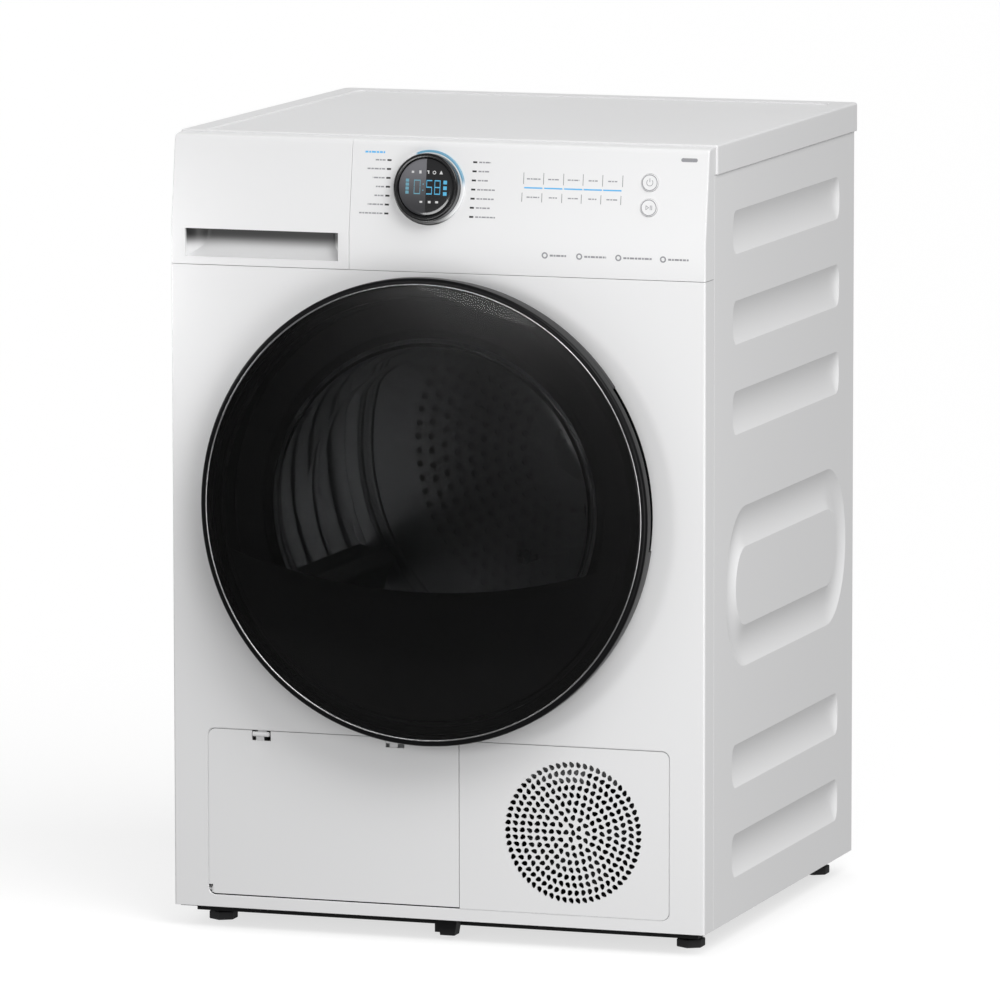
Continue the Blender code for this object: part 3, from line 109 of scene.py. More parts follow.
PANEL = cad("front_panel")
FASCIA = cad("control_fascia")
DRAWER = cad("tank_front")
RING = cad("door_ring")
WORKTOP = cad("worktop")
SIDE = cad("side_panel_right")
SEAL = cad("door_seal")
SHELL = cad("drum_shell")
GRILLE = cad("service_grille")
HALF = PANEL.x1
SHEET = 1.2
DOOR_R = RING.x1
DOOR_Z = (SEAL.z0 + SEAL.z1) / 2
DOOR = (0.0, DOOR_Z)
OPENING_R = SEAL.x1 + 0.6
DIAL = joint("dial_turn")
LEAN = math.atan2(-DIAL["axis"][2], DIAL["axis"][1])
# The leaning face has its own frame: X, depth into the face, and rise along it, measured from the dial's centre.
FACE = Matrix.Translation(Vector(DIAL["pos_m"])) @ Matrix.Rotation(-LEAN, 4, "X")
DIAL_X = DIAL["pos_m"][0] / MM
DIAL_Z = DIAL["pos_m"][2] / MM
CREASE = DIAL_Z - (DIAL["pos_m"][1] - FRONT) / MM / math.tan(LEAN)
FACE_TOP = FASCIA.z1 - 3.0
FACE_Y = (FACE_TOP - CREASE) * math.tan(LEAN)
LENS_Y = -12.1  # the display window's face
KEYS = ("power_button", "start_button")
SLOT = {part["node"]: part["material_slot"] for part in frame["record"]["subparts"]}
LOOKS = {}


# Selection and shapes, made the way a person at the keyboard makes them

def clear_selection():
    if bpy.context.mode != "OBJECT":
        bpy.ops.object.mode_set(mode="OBJECT")
    bpy.ops.object.select_all(action="DESELECT")


def pick(*pieces):
    clear_selection()
    for piece in pieces:
        piece.select_set(True)
    bpy.context.view_layer.objects.active = pieces[-1]


def edit(piece):
    """Edit mode with the whole mesh selected."""
    pick(piece)
    bpy.ops.object.mode_set(mode="EDIT")
    bpy.ops.mesh.select_mode(type="VERT")
    bpy.ops.mesh.select_all(action="SELECT")


def named(name):
    made = bpy.context.object
    made.name = made.data.name = name
    return made


def drawn(name, places, filled=False):
    """A chain of edges through the places, drawn by extruding one vertex, and filled with a face if asked."""
    clear_selection()
    bpy.ops.mesh.primitive_plane_add(size=MM, location=places[0])
    made = named(name)
    bpy.ops.object.transform_apply(location=True, rotation=False, scale=False)
    edit(made)
    bpy.ops.mesh.merge(type="CENTER")
    for here, there in zip(places, places[1:]):
        bpy.ops.mesh.extrude_region_move(TRANSFORM_OT_translate={"value": there - here})
    bpy.ops.mesh.select_all(action="SELECT")
    if filled:
        bpy.ops.mesh.edge_face_add()
    return made


def closed(piece):
    """Merges doubles and turns the faces outwards."""
    edit(piece)
    bpy.ops.mesh.remove_doubles(threshold=2e-6)
    bpy.ops.mesh.normals_make_consistent(inside=False)
    clear_selection()
    return piece


def across(along, u, v, level):
    """Coordinates with the level on the named axis and u and v on the other two."""
    return {"x": (level, u, v), "y": (u, level, v), "z": (u, v, level)}[along]


def turned(name, profile, centre, steps=STEPS, placed=world, start=0.0, sweep=TAU, along="y"):
    """Spins a profile of (radius, position) pairs about the line through centre along Y, X or Z."""
    u, v = centre
    places = [placed(across(along, u + r * math.cos(start), v + r * math.sin(start), level)) for r, level in profile]
    if profile[0][0] > 0 or profile[-1][0] > 0:
        places.append(places[0])
    made = drawn(name, places, filled=sweep < TAU)
    bpy.ops.mesh.spin(steps=steps, angle=sweep, center=placed(across(along, u, v, 0)), axis=across(along, 0, 0, 1))
    return closed(made)


def slab(name, outline, low, high, along="y", placed=world):
    """Fills an outline of coordinate pairs and extrudes it between two planes across the given axis."""
    made = drawn(name, [placed(across(along, u, v, low)) for u, v in outline], filled=True)
    u, v = outline[0]
    shift = placed(across(along, u, v, high)) - placed(across(along, u, v, low))
    bpy.ops.mesh.extrude_region_move(TRANSFORM_OT_translate={"value": shift})
    return closed(made)


def block(name, x0, x1, y0, y1, z0, z1, placed=world):
    low, high = placed((x0, y0, z0)), placed((x1, y1, z1))
    clear_selection()
    bpy.ops.mesh.primitive_cube_add(size=1.0, location=(low + high) / 2, scale=high - low)
    made = named(name)
    bpy.ops.object.transform_apply(location=True, rotation=False, scale=True)
    return made


def on_face(piece):
    """Moves a piece modelled in the leaning face's frame to its place."""
    pick(piece)
    piece.matrix_world = FACE
    bpy.ops.object.transform_apply(location=True, rotation=True, scale=True)
    return piece


def joined(name, pieces):
    pick(*pieces)
    if len(pieces) > 1:
        bpy.ops.object.join()
    return named(name)


def copied(piece, moves):
    """One copy of the piece for each matrix, each with its own mesh. The piece itself goes."""
    made = []
    for move in moves:
        pick(piece)
        bpy.ops.object.duplicate()
        other = bpy.context.object
        other.matrix_world = move
        bpy.ops.object.transform_apply(location=True, rotation=True, scale=True)
        made.append(other)
    bpy.data.objects.remove(piece, do_unlink=True)
    return made


def modified(piece, kind, **settings):
    """Adds one modifier with its settings and applies it."""
    pick(piece)
    bpy.ops.object.modifier_add(type=kind)
    step = piece.modifiers[-1]
    for key, value in settings.items():
        setattr(step, key, value)
    bpy.ops.object.modifier_apply(modifier=step.name)
    return piece


def boolean(piece, operation, tools):
    for tool in tools:
        modified(piece, "BOOLEAN", operation=operation, solver="EXACT", object=tool)
        bpy.data.objects.remove(tool, do_unlink=True)
    return piece


def cut(piece, *tools):
    return boolean(piece, "DIFFERENCE", tools)


def fused(piece, *others):
    return boolean(piece, "UNION", others)


def smoothed(piece, angle=32.0):
    pick(piece)
    bpy.ops.object.shade_smooth_by_angle(angle=math.radians(angle))
    return modified(piece, "WEIGHTED_NORMAL", keep_sharp=True)


def eased(piece, width, segments=2):
    """Rounds the sharp edges, and shades the piece smooth between them."""
    modified(piece, "BEVEL", width=width * MM, segments=segments, limit_method="ANGLE",
             angle_limit=math.radians(30), miter_outer="MITER_ARC")
    return smoothed(piece)


def marked(piece, kind, chosen):
    """Edit mode, with only the vertices, edges or faces selected that the test picks."""
    edit(piece)
    bpy.ops.mesh.select_mode(type=kind)
    bpy.ops.mesh.select_all(action="DESELECT")
    bpy.ops.object.mode_set(mode="OBJECT")
    shape = piece.data
    for item in {"VERT": shape.vertices, "EDGE": shape.edges, "FACE": shape.polygons}[kind]:
        item.select = chosen(item)
    bpy.ops.object.mode_set(mode="EDIT")


def in_millimetres(place):
    return (place - world((0, 0, 0))) / MM


def edge_bevel(piece, width, segments, chosen):
    """Bevels only the edges that the test picks, given their two ends in millimetres."""
    marked(piece, "EDGE",
           lambda line: chosen(*(in_millimetres(piece.data.vertices[i].co) for i in line.vertices)))
    bpy.ops.mesh.bevel(offset=width * MM, segments=segments, affect="EDGES")
    clear_selection()
    return piece


def without_faces(piece, chosen):
    """Deletes the faces that the test picks by centre, in millimetres, and normal."""
    marked(piece, "FACE", lambda face: chosen(in_millimetres(face.center), face.normal))
    bpy.ops.mesh.delete(type="FACE")
    clear_selection()
    return piece


def walled(piece):
    """Gives an open skin its sheet thickness, inwards."""
    return modified(piece, "SOLIDIFY", thickness=SHEET * MM, offset=-1.0, use_even_offset=True)


def refined(node, width, segments=2):
    """A copy of a solid with its doubles merged, its flat faces joined and its edges rounded."""
    pick(frame["nodes"][node])
    bpy.ops.object.duplicate()
    made = named(node + "_form")
    made.parent = None
    for key in list(made.keys()):
        del made[key]
    edit(made)
    bpy.ops.mesh.remove_doubles(threshold=2e-6)
    bpy.ops.mesh.dissolve_limited(angle_limit=math.radians(0.4))
    clear_selection()
    return eased(made, width, segments) if width else smoothed(made)


def arc(centre, radius, start, end, steps=5):
    """Points on an arc, with angles in degrees."""
    turns = [math.radians(start + (end - start) * i / steps) for i in range(steps + 1)]
    return [(centre[0] + radius * math.cos(a), centre[1] + radius * math.sin(a)) for a in turns]


def rounded(u0, u1, v0, v1, radius, steps=6):
    corners = ((u1 - radius, v1 - radius, 0), (u0 + radius, v1 - radius, 90),
               (u0 + radius, v0 + radius, 180), (u1 - radius, v0 + radius, 270))
    return [p for u, v, start in corners for p in arc((u, v), radius, start, start + 90, steps)]


def body_of(node):
    return frame["nodes"][node]["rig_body"]


def added(piece, node, look):
    """Lets a small extra piece ride with a solid's body."""
    piece.data.materials.clear()
    piece.data.materials.append(look)
    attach(piece, body_of(node))
    return piece


def settled(piece, node, look=None):
    """Lets a finished piece stand for a solid, with its body, slot and material."""
    added(piece, node, look or LOOKS[SLOT[node]])
    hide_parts(node)
    return piece


def trimmed(node, width, segments=2):
    """Rounds a solid's edges and lets the result stand for it."""
    return settled(refined(node, width, segments), node)


# Materials

def socket(group, name, kind, way, default=None):
    made = group.interface.new_socket(name=name, in_out=way, socket_type=kind)
    if default is not None:
        made.default_value = default


def maths(tree, operation, first, second):
    """A maths node whose inputs are sockets or numbers."""
    made = tree.nodes.new("ShaderNodeMath")
    made.operation = operation
    for slot, value in zip(made.inputs, (first, second)):
        if isinstance(value, (int, float)):
            slot.default_value = value
        else:
            tree.links.new(value, slot)
    return made.outputs[0]


def scaled(tree, colour, factor):
    """The colour times a value."""
    made = tree.nodes.new("ShaderNodeVectorMath")
    made.operation = "SCALE"
    tree.links.new(colour, made.inputs[0])
    tree.links.new(factor, made.inputs["Scale"])
    return made.outputs[0]


def surface_group():
    """Colour and roughness that vary softly, with a fine height for a bump."""
    group = bpy.data.node_groups.new("surface_variation", "ShaderNodeTree")
    socket(group, "Vector", "NodeSocketVector", "INPUT")
    socket(group, "Colour", "NodeSocketColor", "INPUT", (0.8, 0.8, 0.8, 1.0))
    for name, default in (("Roughness", 0.4), ("Grain Scale", 900.0), ("Patch Scale", 6.0),
                          ("Colour Shift", 0.02), ("Roughness Shift", 0.06)):
        socket(group, name, "NodeSocketFloat", "INPUT", default)
    socket(group, "Colour", "NodeSocketColor", "OUTPUT")
    socket(group, "Roughness", "NodeSocketFloat", "OUTPUT")
    socket(group, "Height", "NodeSocketFloat", "OUTPUT")
    nodes, links = group.nodes, group.links
    given, out = nodes.new("NodeGroupInput"), nodes.new("NodeGroupOutput")
    grain, patch = nodes.new("ShaderNodeTexNoise"), nodes.new("ShaderNodeTexNoise")
    grain.inputs["Detail"].default_value = 3.0
    patch.inputs["Detail"].default_value = 5.0
    for noise, scale in ((grain, "Grain Scale"), (patch, "Patch Scale")):
        links.new(given.outputs["Vector"], noise.inputs["Vector"])
        links.new(given.outputs[scale], noise.inputs["Scale"])
    centred = maths(group, "SUBTRACT", patch.outputs["Fac"], 0.5)
    shade = maths(group, "MULTIPLY", centred, given.outputs["Colour Shift"])
    gloss = maths(group, "MULTIPLY", centred, given.outputs["Roughness Shift"])
    tint = scaled(group, given.outputs["Colour"], maths(group, "ADD", shade, 1.0))
    links.new(tint, out.inputs["Colour"])
    links.new(maths(group, "ADD", given.outputs["Roughness"], gloss), out.inputs["Roughness"])
    links.new(grain.outputs["Fac"], out.inputs["Height"])
    return group


def finish(name, colour, roughness, metallic=0.0, grain=900.0, patch=6.0, shade=0.02, gloss=0.05, bump=0.02,
           stretch=(1.0, 1.0, 1.0), **sockets):
    """A Principled material whose colour, roughness and bump come from the surface group, kept in LOOKS."""
    made = LOOKS[name] = bpy.data.materials.new(name)
    made.use_nodes = True
    nodes, links = made.node_tree.nodes, made.node_tree.links
    shader = nodes["Principled BSDF"]
    shader.inputs["Metallic"].default_value = metallic
    for key, value in sockets.items():
        shader.inputs[key.replace("_", " ")].default_value = value
    place, aim = nodes.new("ShaderNodeTexCoord"), nodes.new("ShaderNodeMapping")
    aim.inputs["Scale"].default_value = stretch
    links.new(place.outputs["Object"], aim.inputs["Vector"])
    detail = nodes.new("ShaderNodeGroup")
    detail.node_tree = bpy.data.node_groups.get("surface_variation") or surface_group()
    links.new(aim.outputs["Vector"], detail.inputs["Vector"])
    detail.inputs["Colour"].default_value = (*colour, 1.0)
    for key, value in (("Roughness", roughness), ("Grain Scale", grain), ("Patch Scale", patch),
                       ("Colour Shift", shade), ("Roughness Shift", gloss)):
        detail.inputs[key].default_value = value
    links.new(detail.outputs["Colour"], shader.inputs["Base Color"])
    links.new(detail.outputs["Roughness"], shader.inputs["Roughness"])
    relief = nodes.new("ShaderNodeBump")
    relief.inputs["Strength"].default_value = bump
    relief.inputs["Distance"].default_value = 0.0004
    links.new(detail.outputs["Height"], relief.inputs["Height"])
    links.new(relief.outputs["Normal"], shader.inputs["Normal"])
    return made


def glowing(name, colour, strength):
    """A mark that shines in its own colour: a lit mark, or a printed mark given a painted glow."""
    made = finish(name, tuple(0.3 * c for c in colour), 0.4, shade=0.05)
    shader = made.node_tree.nodes["Principled BSDF"]
    shader.inputs["Emission Color"].default_value = (*colour, 1.0)
    shader.inputs["Emission Strength"].default_value = strength


def from_dial(tree):
    """X and rise from the dial's centre, in metres."""
    nodes, links = tree.nodes, tree.links
    place, aim, part = (nodes.new("ShaderNodeTexCoord"), nodes.new("ShaderNodeMapping"),
                        nodes.new("ShaderNodeSeparateXYZ"))
    aim.vector_type = "TEXTURE"
    aim.inputs["Location"].default_value = DIAL["pos_m"]
    links.new(place.outputs["Object"], aim.inputs["Vector"])
    links.new(aim.outputs[0], part.inputs[0])
    return part.outputs["X"], part.outputs["Z"]


def ramp(tree, value, from_min, from_max, to_min=0.0, to_max=1.0):
    """A smooth step from one value to another."""
    made = tree.nodes.new("ShaderNodeMapRange")
    made.interpolation_type = "SMOOTHSTEP"
    for key, number in (("From Min", from_min), ("From Max", from_max), ("To Min", to_min), ("To Max", to_max)):
        made.inputs[key].default_value = number
    tree.links.new(value, made.inputs["Value"])
    return made.outputs[0]


def scaled_colour(made, factor):
    """Multiplies a material's varied colour by a value that changes over the surface."""
    tree = made.node_tree
    varied = next(n for n in tree.nodes if n.type == "GROUP").outputs["Colour"]
    tree.links.new(scaled(tree, varied, factor), tree.nodes["Principled BSDF"].inputs["Base Color"])


def zinc_finish(name, colour):
    """Galvanised sheet with its spangle."""
    made = finish(name, colour, 0.42, 0.85, 500.0, 8.0, 0.06, 0.1, 0.03)
    tree = made.node_tree
    spangle, grey = tree.nodes.new("ShaderNodeTexVoronoi"), tree.nodes.new("ShaderNodeSeparateColor")
    spangle.inputs["Scale"].default_value = 90.0
    tree.links.new(next(n for n in tree.nodes if n.type == "MAPPING").outputs[0], spangle.inputs["Vector"])
    tree.links.new(spangle.outputs["Color"], grey.inputs[0])
    scaled_colour(made, ramp(tree, grey.outputs[0], 0.0, 1.0, 0.94, 1.04))


def halo_finish(name, ring, glow):
    """Translucent ring, lit along its outer edge from the top round to the right, its colour darkened towards the
    lower left as painted shade.
    """
    made = finish(name, ring, 0.22, Coat_Weight=0.4)
    tree = made.node_tree
    shader = tree.nodes["Principled BSDF"]
    x, z = from_dial(tree)
    lit = maths(tree, "MULTIPLY", ramp(tree, x, -0.018, -0.012), ramp(tree, z, -0.002, 0.014))
    squares = maths(tree, "ADD", maths(tree, "MULTIPLY", x, x), maths(tree, "MULTIPLY", z, z))
    glows = maths(tree, "MULTIPLY", lit, ramp(tree, squares, 0.0366 ** 2, 0.0376 ** 2))
    mix = tree.nodes.new("ShaderNodeMix")
    mix.data_type = "RGBA"
    factor, unlit, full = mix.inputs[0], mix.inputs[6], mix.inputs[7]
    unlit.default_value = (0.02, 0.02, 0.02, 1.0)
    full.default_value = (*glow, 1.0)
    tree.links.new(glows, factor)
    tree.links.new(mix.outputs[2], shader.inputs["Emission Color"])
    shader.inputs["Emission Strength"].default_value = 0.5
    tinted = ramp(tree, glows, 0.0, 1.0, 1.0, 0.12)
    # Painted shade: the ring's colour darkens towards the lower left, where the knob's shadow falls.
    with_painted_shade = ramp(tree, maths(tree, "ADD", x, z), -0.03, 0.006, 0.05, 1.0)
    scaled_colour(made, maths(tree, "MULTIPLY", tinted, with_painted_shade))


def grip_painted_shade_finish(name, colour, low, high):
    """White plastic with painted shade that greys it upwards inside the grip pocket."""
    made = finish(name, colour, 0.36, grain=2200, patch=7, shade=0.012, bump=0.03)
    tree = made.node_tree
    place, part = tree.nodes.new("ShaderNodeTexCoord"), tree.nodes.new("ShaderNodeSeparateXYZ")
    tree.links.new(place.outputs["Object"], part.inputs[0])
    inside = ramp(tree, part.outputs["Y"], FRONT + 0.001, FRONT + 0.005)
    upper = ramp(tree, part.outputs["Z"], (low + 4) * MM, (high - 4) * MM)
    under = ramp(tree, part.outputs["Z"], high * MM, (high + 0.6) * MM, 1.0, 0.0)
    # Painted shade: darker towards the top of the pocket, under its lip, where light hardly reaches.
    pocket_painted_shade = maths(tree, "MULTIPLY", maths(tree, "MULTIPLY", inside, upper), under)
    scaled_colour(made, ramp(tree, pocket_painted_shade, 0.0, 1.0, 1.0, 0.05))
    return made


def window_painted_reflection_finish(name, colour):
    """Dark display window with a painted reflection: its left half is lighter, most of all at the top."""
    made = finish(name, colour, 0.1, Coat_Weight=0.5, Coat_Roughness=0.05, Specular_IOR_Level=0.3)
    tree = made.node_tree
    x, z = from_dial(tree)
    # Painted reflection: the left half of the window is lightened, most of all at the top.
    left = ramp(tree, x, -0.0001, 0.0002, 1.0, 0.0)
    height = ramp(tree, z, -0.024, 0.030, 2.0, 13.0)
    scaled_colour(made, maths(tree, "ADD", maths(tree, "MULTIPLY", left, height), 1.0))


# What a user may change

def length_property(name, description, default):
    return bpy.props.FloatProperty(name=name, description=description, default=default, min=0.0002,
                                   subtype="DISTANCE", unit="LENGTH")


class DryerSizes(bpy.types.PropertyGroup):
    """Lengths of the dryer's visible details."""
    top_edge: length_property("Worktop edge", "Radius of the worktop's upper edge", 0.0024)
    fold: length_property("Sheet fold", "Outer radius of the folds in the painted sheet", 0.0022)
    rib_height: length_property("Rib height", "Height of the long ribs pressed into the sides", 0.0465)
    rib_depth: length_property("Rib depth", "Depth of everything pressed into the sides", 0.005)
    vent_spacing: length_property("Vent ring spacing", "Distance between rings of holes in the air grille", 0.0081)
    wall_hole: length_property("Drum wall hole", "Radius of the holes in the drum's rear wall", 0.0042)
    camera_distance: length_property("Camera distance", "From the dryer's footprint centre to the camera", 9.651)


def colour_property(name, description, default):
    return bpy.props.FloatVectorProperty(name=name, description=description, default=default, size=3, min=0.0,
                                         max=1.0, subtype="COLOR")


class DryerColours(bpy.types.PropertyGroup):
    """Colours of the dryer's main finishes."""
    steel: colour_property("Painted steel", "Front and side panels", (0.80, 0.80, 0.805))
    plastic: colour_property("White plastic", "Control panel, drawer front, flap and grille", (0.79, 0.79, 0.795))
    top: colour_property("Worktop", "Top of the cabinet", (0.78, 0.78, 0.785))
    black: colour_property("Black", "Door ring, dial and other black mouldings", (0.004, 0.004, 0.0045))
    grey: colour_property("Grey plastic", "Lifters, ducts and filter", (0.30, 0.305, 0.31))
    glow: colour_property("Glow", "Lit ring and display", (0.09, 0.50, 0.80))
    print: colour_property("Print", "Printed marks on the control panel", (0.17, 0.17, 0.18))


def sizes():
    return bpy.context.scene.dryer_sizes


def colours():
    return bpy.context.scene.dryer_colours


class DRYER_OT_finishes(bpy.types.Operator):
    """Makes the material of every slot and of the printed and lit marks."""
    bl_idname = "dryer.finishes"
    bl_label = "Finishes"

    def execute(self, context):
        c = colours()
        black = tuple(c.black)
        finish("white_steel", c.steel, 0.32, grain=1400, patch=4, shade=0.015, bump=0.035,
               Coat_Weight=0.25, Coat_Roughness=0.12)
        finish("white_plastic", c.plastic, 0.36, grain=2200, patch=7, shade=0.012, bump=0.03)
        finish("worktop_white", c.top, 0.42, grain=1700, patch=5, shade=0.02, bump=0.05)
        finish("black_gloss", black, 0.2, grain=700, patch=12, shade=0.3, gloss=0.06, bump=0.01,
               Specular_IOR_Level=0.3, Coat_Weight=0.3, Coat_Roughness=0.08)
        finish("black_ring", black, 0.3, grain=1600, patch=9, shade=0.3, gloss=0.08, bump=0.03,
               Specular_IOR_Level=0.12)
        finish("black_plastic", (0.008, 0.008, 0.0085), 0.55, grain=1300, patch=14, shade=0.3,
               gloss=0.12, bump=0.12, Specular_IOR_Level=0.3)
        finish("grey_plastic", c.grey, 0.48, grain=1100, patch=11, shade=0.06, gloss=0.1,
               bump=0.08)
        finish("tank_plastic", (0.62, 0.66, 0.70), 0.28, grain=900, patch=8, shade=0.04,
               bump=0.03, Transmission_Weight=0.45)
        finish("drum_steel", (0.55, 0.56, 0.57), 0.3, 1.0, 60, 9, 0.12, 0.14, 0.05,
               (1.0, 14.0, 1.0))
        zinc_finish("zinc_steel", (0.5, 0.51, 0.52))
        finish("chrome", (0.46, 0.46, 0.465), 0.2, 1.0, grain=400, patch=20, shade=0.04, gloss=0.06,
               bump=0.005)
        finish("rubber", (0.018, 0.018, 0.019), 0.72, grain=800, patch=20, shade=0.35, gloss=0.15,
               bump=0.18)
        finish("dark_glass", (0.32, 0.32, 0.32), 0.02, grain=200, patch=5, shade=0.05,
               gloss=0.01, bump=0.002, Transmission_Weight=1.0, IOR=1.1, Coat_Weight=0.26,
               Coat_Roughness=0.2)
        finish("clear_glass", (0.95, 0.95, 0.95), 0.02, grain=200, patch=6, shade=0.03,
               gloss=0.01, bump=0.002, Transmission_Weight=1.0, IOR=1.1)
        finish("felt", (0.33, 0.32, 0.31), 0.95, grain=2600, patch=40, shade=0.35, bump=0.9,
               Sheen_Weight=0.5)
        finish("circuit_board", (0.03, 0.17, 0.08), 0.45, grain=300, patch=60, shade=0.5,
               bump=0.1)
        finish("fins", (0.62, 0.64, 0.66), 0.35, 0.95, 300, 30, 0.1, 0.12, 0.08, (6.0, 1.0, 1.0))
        finish("cast", (0.03, 0.03, 0.032), 0.5, 0.3, grain=500, patch=16, shade=0.25, bump=0.3)
        window_painted_reflection_finish("display", (0.012, 0.012, 0.013))
        halo_finish("light_ring", (0.85, 0.86, 0.87), c.glow)
        finish("print_black", (0.012, 0.012, 0.012), 0.5, shade=0.3)
        finish("print_grey", c.print, 0.5, shade=0.1)
        finish("print_pale", tuple(1.7 * v for v in c.print), 0.5, shade=0.1)
        # Painted glow: the printed blue marks shine although they are only ink.
        glowing("print_blue_painted_glow", (0.10, 0.44, 0.80), 0.75)
        glowing("lit_blue", (0.09, 0.47, 0.75), 0.62)
        glowing("lit_pale", (0.14, 0.36, 0.46), 0.6)
        glowing("lit_white", (0.72, 0.72, 0.72), 0.55)
        return {"FINISHED"}


# Cabinet

class DRYER_OT_worktop(bpy.types.Operator):
    """Moulds the worktop, with its sunk field and hollow underside."""
    bl_idname = "dryer.worktop"
    bl_label = "Worktop"

    def execute(self, context):
        w = WORKTOP
        top = block("worktop_board", *w)
        edge_bevel(top, 9.0, 6, lambda a, b: abs(a[2] - b[2]) > 20 and a[1] > w.y1 - 1)
        edge_bevel(top, 2.5, 4, lambda a, b: abs(a[2] - b[2]) > 20 and a[1] < w.y0 + 1)
        rim = sizes().top_edge / MM
        edge_bevel(top, rim, 4, lambda a, b: min(a[2], b[2]) > w.z1 - 0.1)
        wall, margin = 5, 25
        cut(top, block("hollow", w.x0 + wall, w.x1 - wall, w.y0 - 36, w.y1 - wall, w.z0 - 5, w.z0 + 12))
        field = rounded(w.x0 + margin, w.x1 - margin, w.y0 + 5.7, w.y1 - margin, 8)
        cut(top, slab("field", field, w.z1 - 1.5, w.z1 + 5, "z"))
        settled(eased(top, 0.6, 3), "worktop")
        return {"FINISHED"}


def rib_cutter(side, y0, y1, z):
    """A long barrel that leaves a smooth hollow with round ends."""
    height, depth = sizes().rib_height / MM, sizes().rib_depth / MM
    radius = (height ** 2 / 4 + depth ** 2) / (2 * depth)
    end, spare = 12.0, 0.6
    rise = [(radius - depth - spare + (depth + spare) * math.sin(math.pi / 2 * i / 9),
             end * (1 - math.cos(math.pi / 2 * i / 9))) for i in range(10)]
    profile = [(0.0, y0)] + [(r, y0 + y) for r, y in rise]
    profile += [(r, y1 - y) for r, y in reversed(rise)] + [(0.0, y1)]
    return turned("rib", profile, (side * (HALF + radius - depth), z), 220)


def ring_cutter(side, y0, y1, mid, half, inner):
    """The same hollow, led round a long closed path."""
    depth, reach = sizes().rib_depth / MM, (half + inner) / 2
    width = half - inner
    radius = (width ** 2 / 4 + depth ** 2) / (2 * depth)
    spread = math.degrees(math.asin(width / 2 / radius))
    cross = [(radius * math.sin(math.radians(a)), radius * math.cos(math.radians(a)))
             for a in [spread * (i / 8 - 1) for i in range(17)]]
    places = [(side * (HALF + radius - depth - along), mid + reach + across) for across, along in cross]
    places += [(side * (HALF + 1.5), places[-1][1]), (side * (HALF + 1.5), places[0][1])]
    squeeze = 0.84
    a, b = y0 + half * squeeze, y1 - half * squeeze
    made = drawn("ring", [world((x, a, z)) for x, z in places + places[:1]])
    for start, step in ((b, b - a), (a, a - b)):
        bpy.ops.mesh.extrude_region_move(TRANSFORM_OT_translate={"value": Vector((0, step * MM, 0))})
        bpy.ops.mesh.spin(steps=28, angle=math.pi, center=world((side * HALF, start, mid)), axis=(1, 0, 0))
    closed(made)
    for limit, beyond in ((a, -1), (b, 1)):
        marked(made, "VERT", lambda point: ((point.co.y - FRONT) / MM - limit) * beyond > 0.01)
        bpy.ops.transform.resize(value=(1.0, squeeze, 1.0), center_override=world((0, limit, 0)))
    clear_selection()
    return made


class DRYER_OT_sides(bpy.types.Operator):
    """Presses both steel sides, with their ribs, folds and flanges."""
    bl_idname = "dryer.sides"
    bl_label = "Sides"

    def execute(self, context):
        ring_z, pitch = (SIDE.z0 + SIDE.z1) / 2 - 47.5, 96
        ribs = [ring_z + 188.5 + pitch * i for i in range(3)] + [ring_z - 189.5 - pitch * i for i in range(2)]
        flange = 14.0
        for side, node in ((-1, "side_panel_left"), (1, "side_panel_right")):
            outer, inner = side * HALF, side * (HALF - flange)
            panel = block(node + "_sheet", min(outer, inner), max(outer, inner), SIDE.y0, SIDE.y1, SIDE.z0, SIDE.z1)
            edge_bevel(panel, sizes().fold / MM * 0.7, 3,
                       lambda a, b: abs(a[0] - outer) < 0.1 and abs(b[0] - outer) < 0.1 and abs(a[2] - b[2]) > 99)
            cutters = [rib_cutter(side, 97, SIDE.y1 - 58, z) for z in ribs]
            cutters.append(ring_cutter(side, 73, SIDE.y1 - 30, ring_z, 86, 42))
            cut(panel, joined("ribs", cutters))
            without_faces(panel, lambda at, n: abs(at.x - inner) < 0.5 or abs(n.z) > 0.99 and
                          (at.z < SIDE.z0 + 1 or at.z > SIDE.z1 - 1))
            walled(panel)
            near, far = side * (HALF - 7.5), side * (HALF - 30)
            cut(panel, block("step", min(near, far), max(near, far), SIDE.y0 - 5, SIDE.y0 + 5,
                             FASCIA.z0, SIDE.z1 + 5))
            settled(smoothed(panel, 18), node)
        return {"FINISHED"}


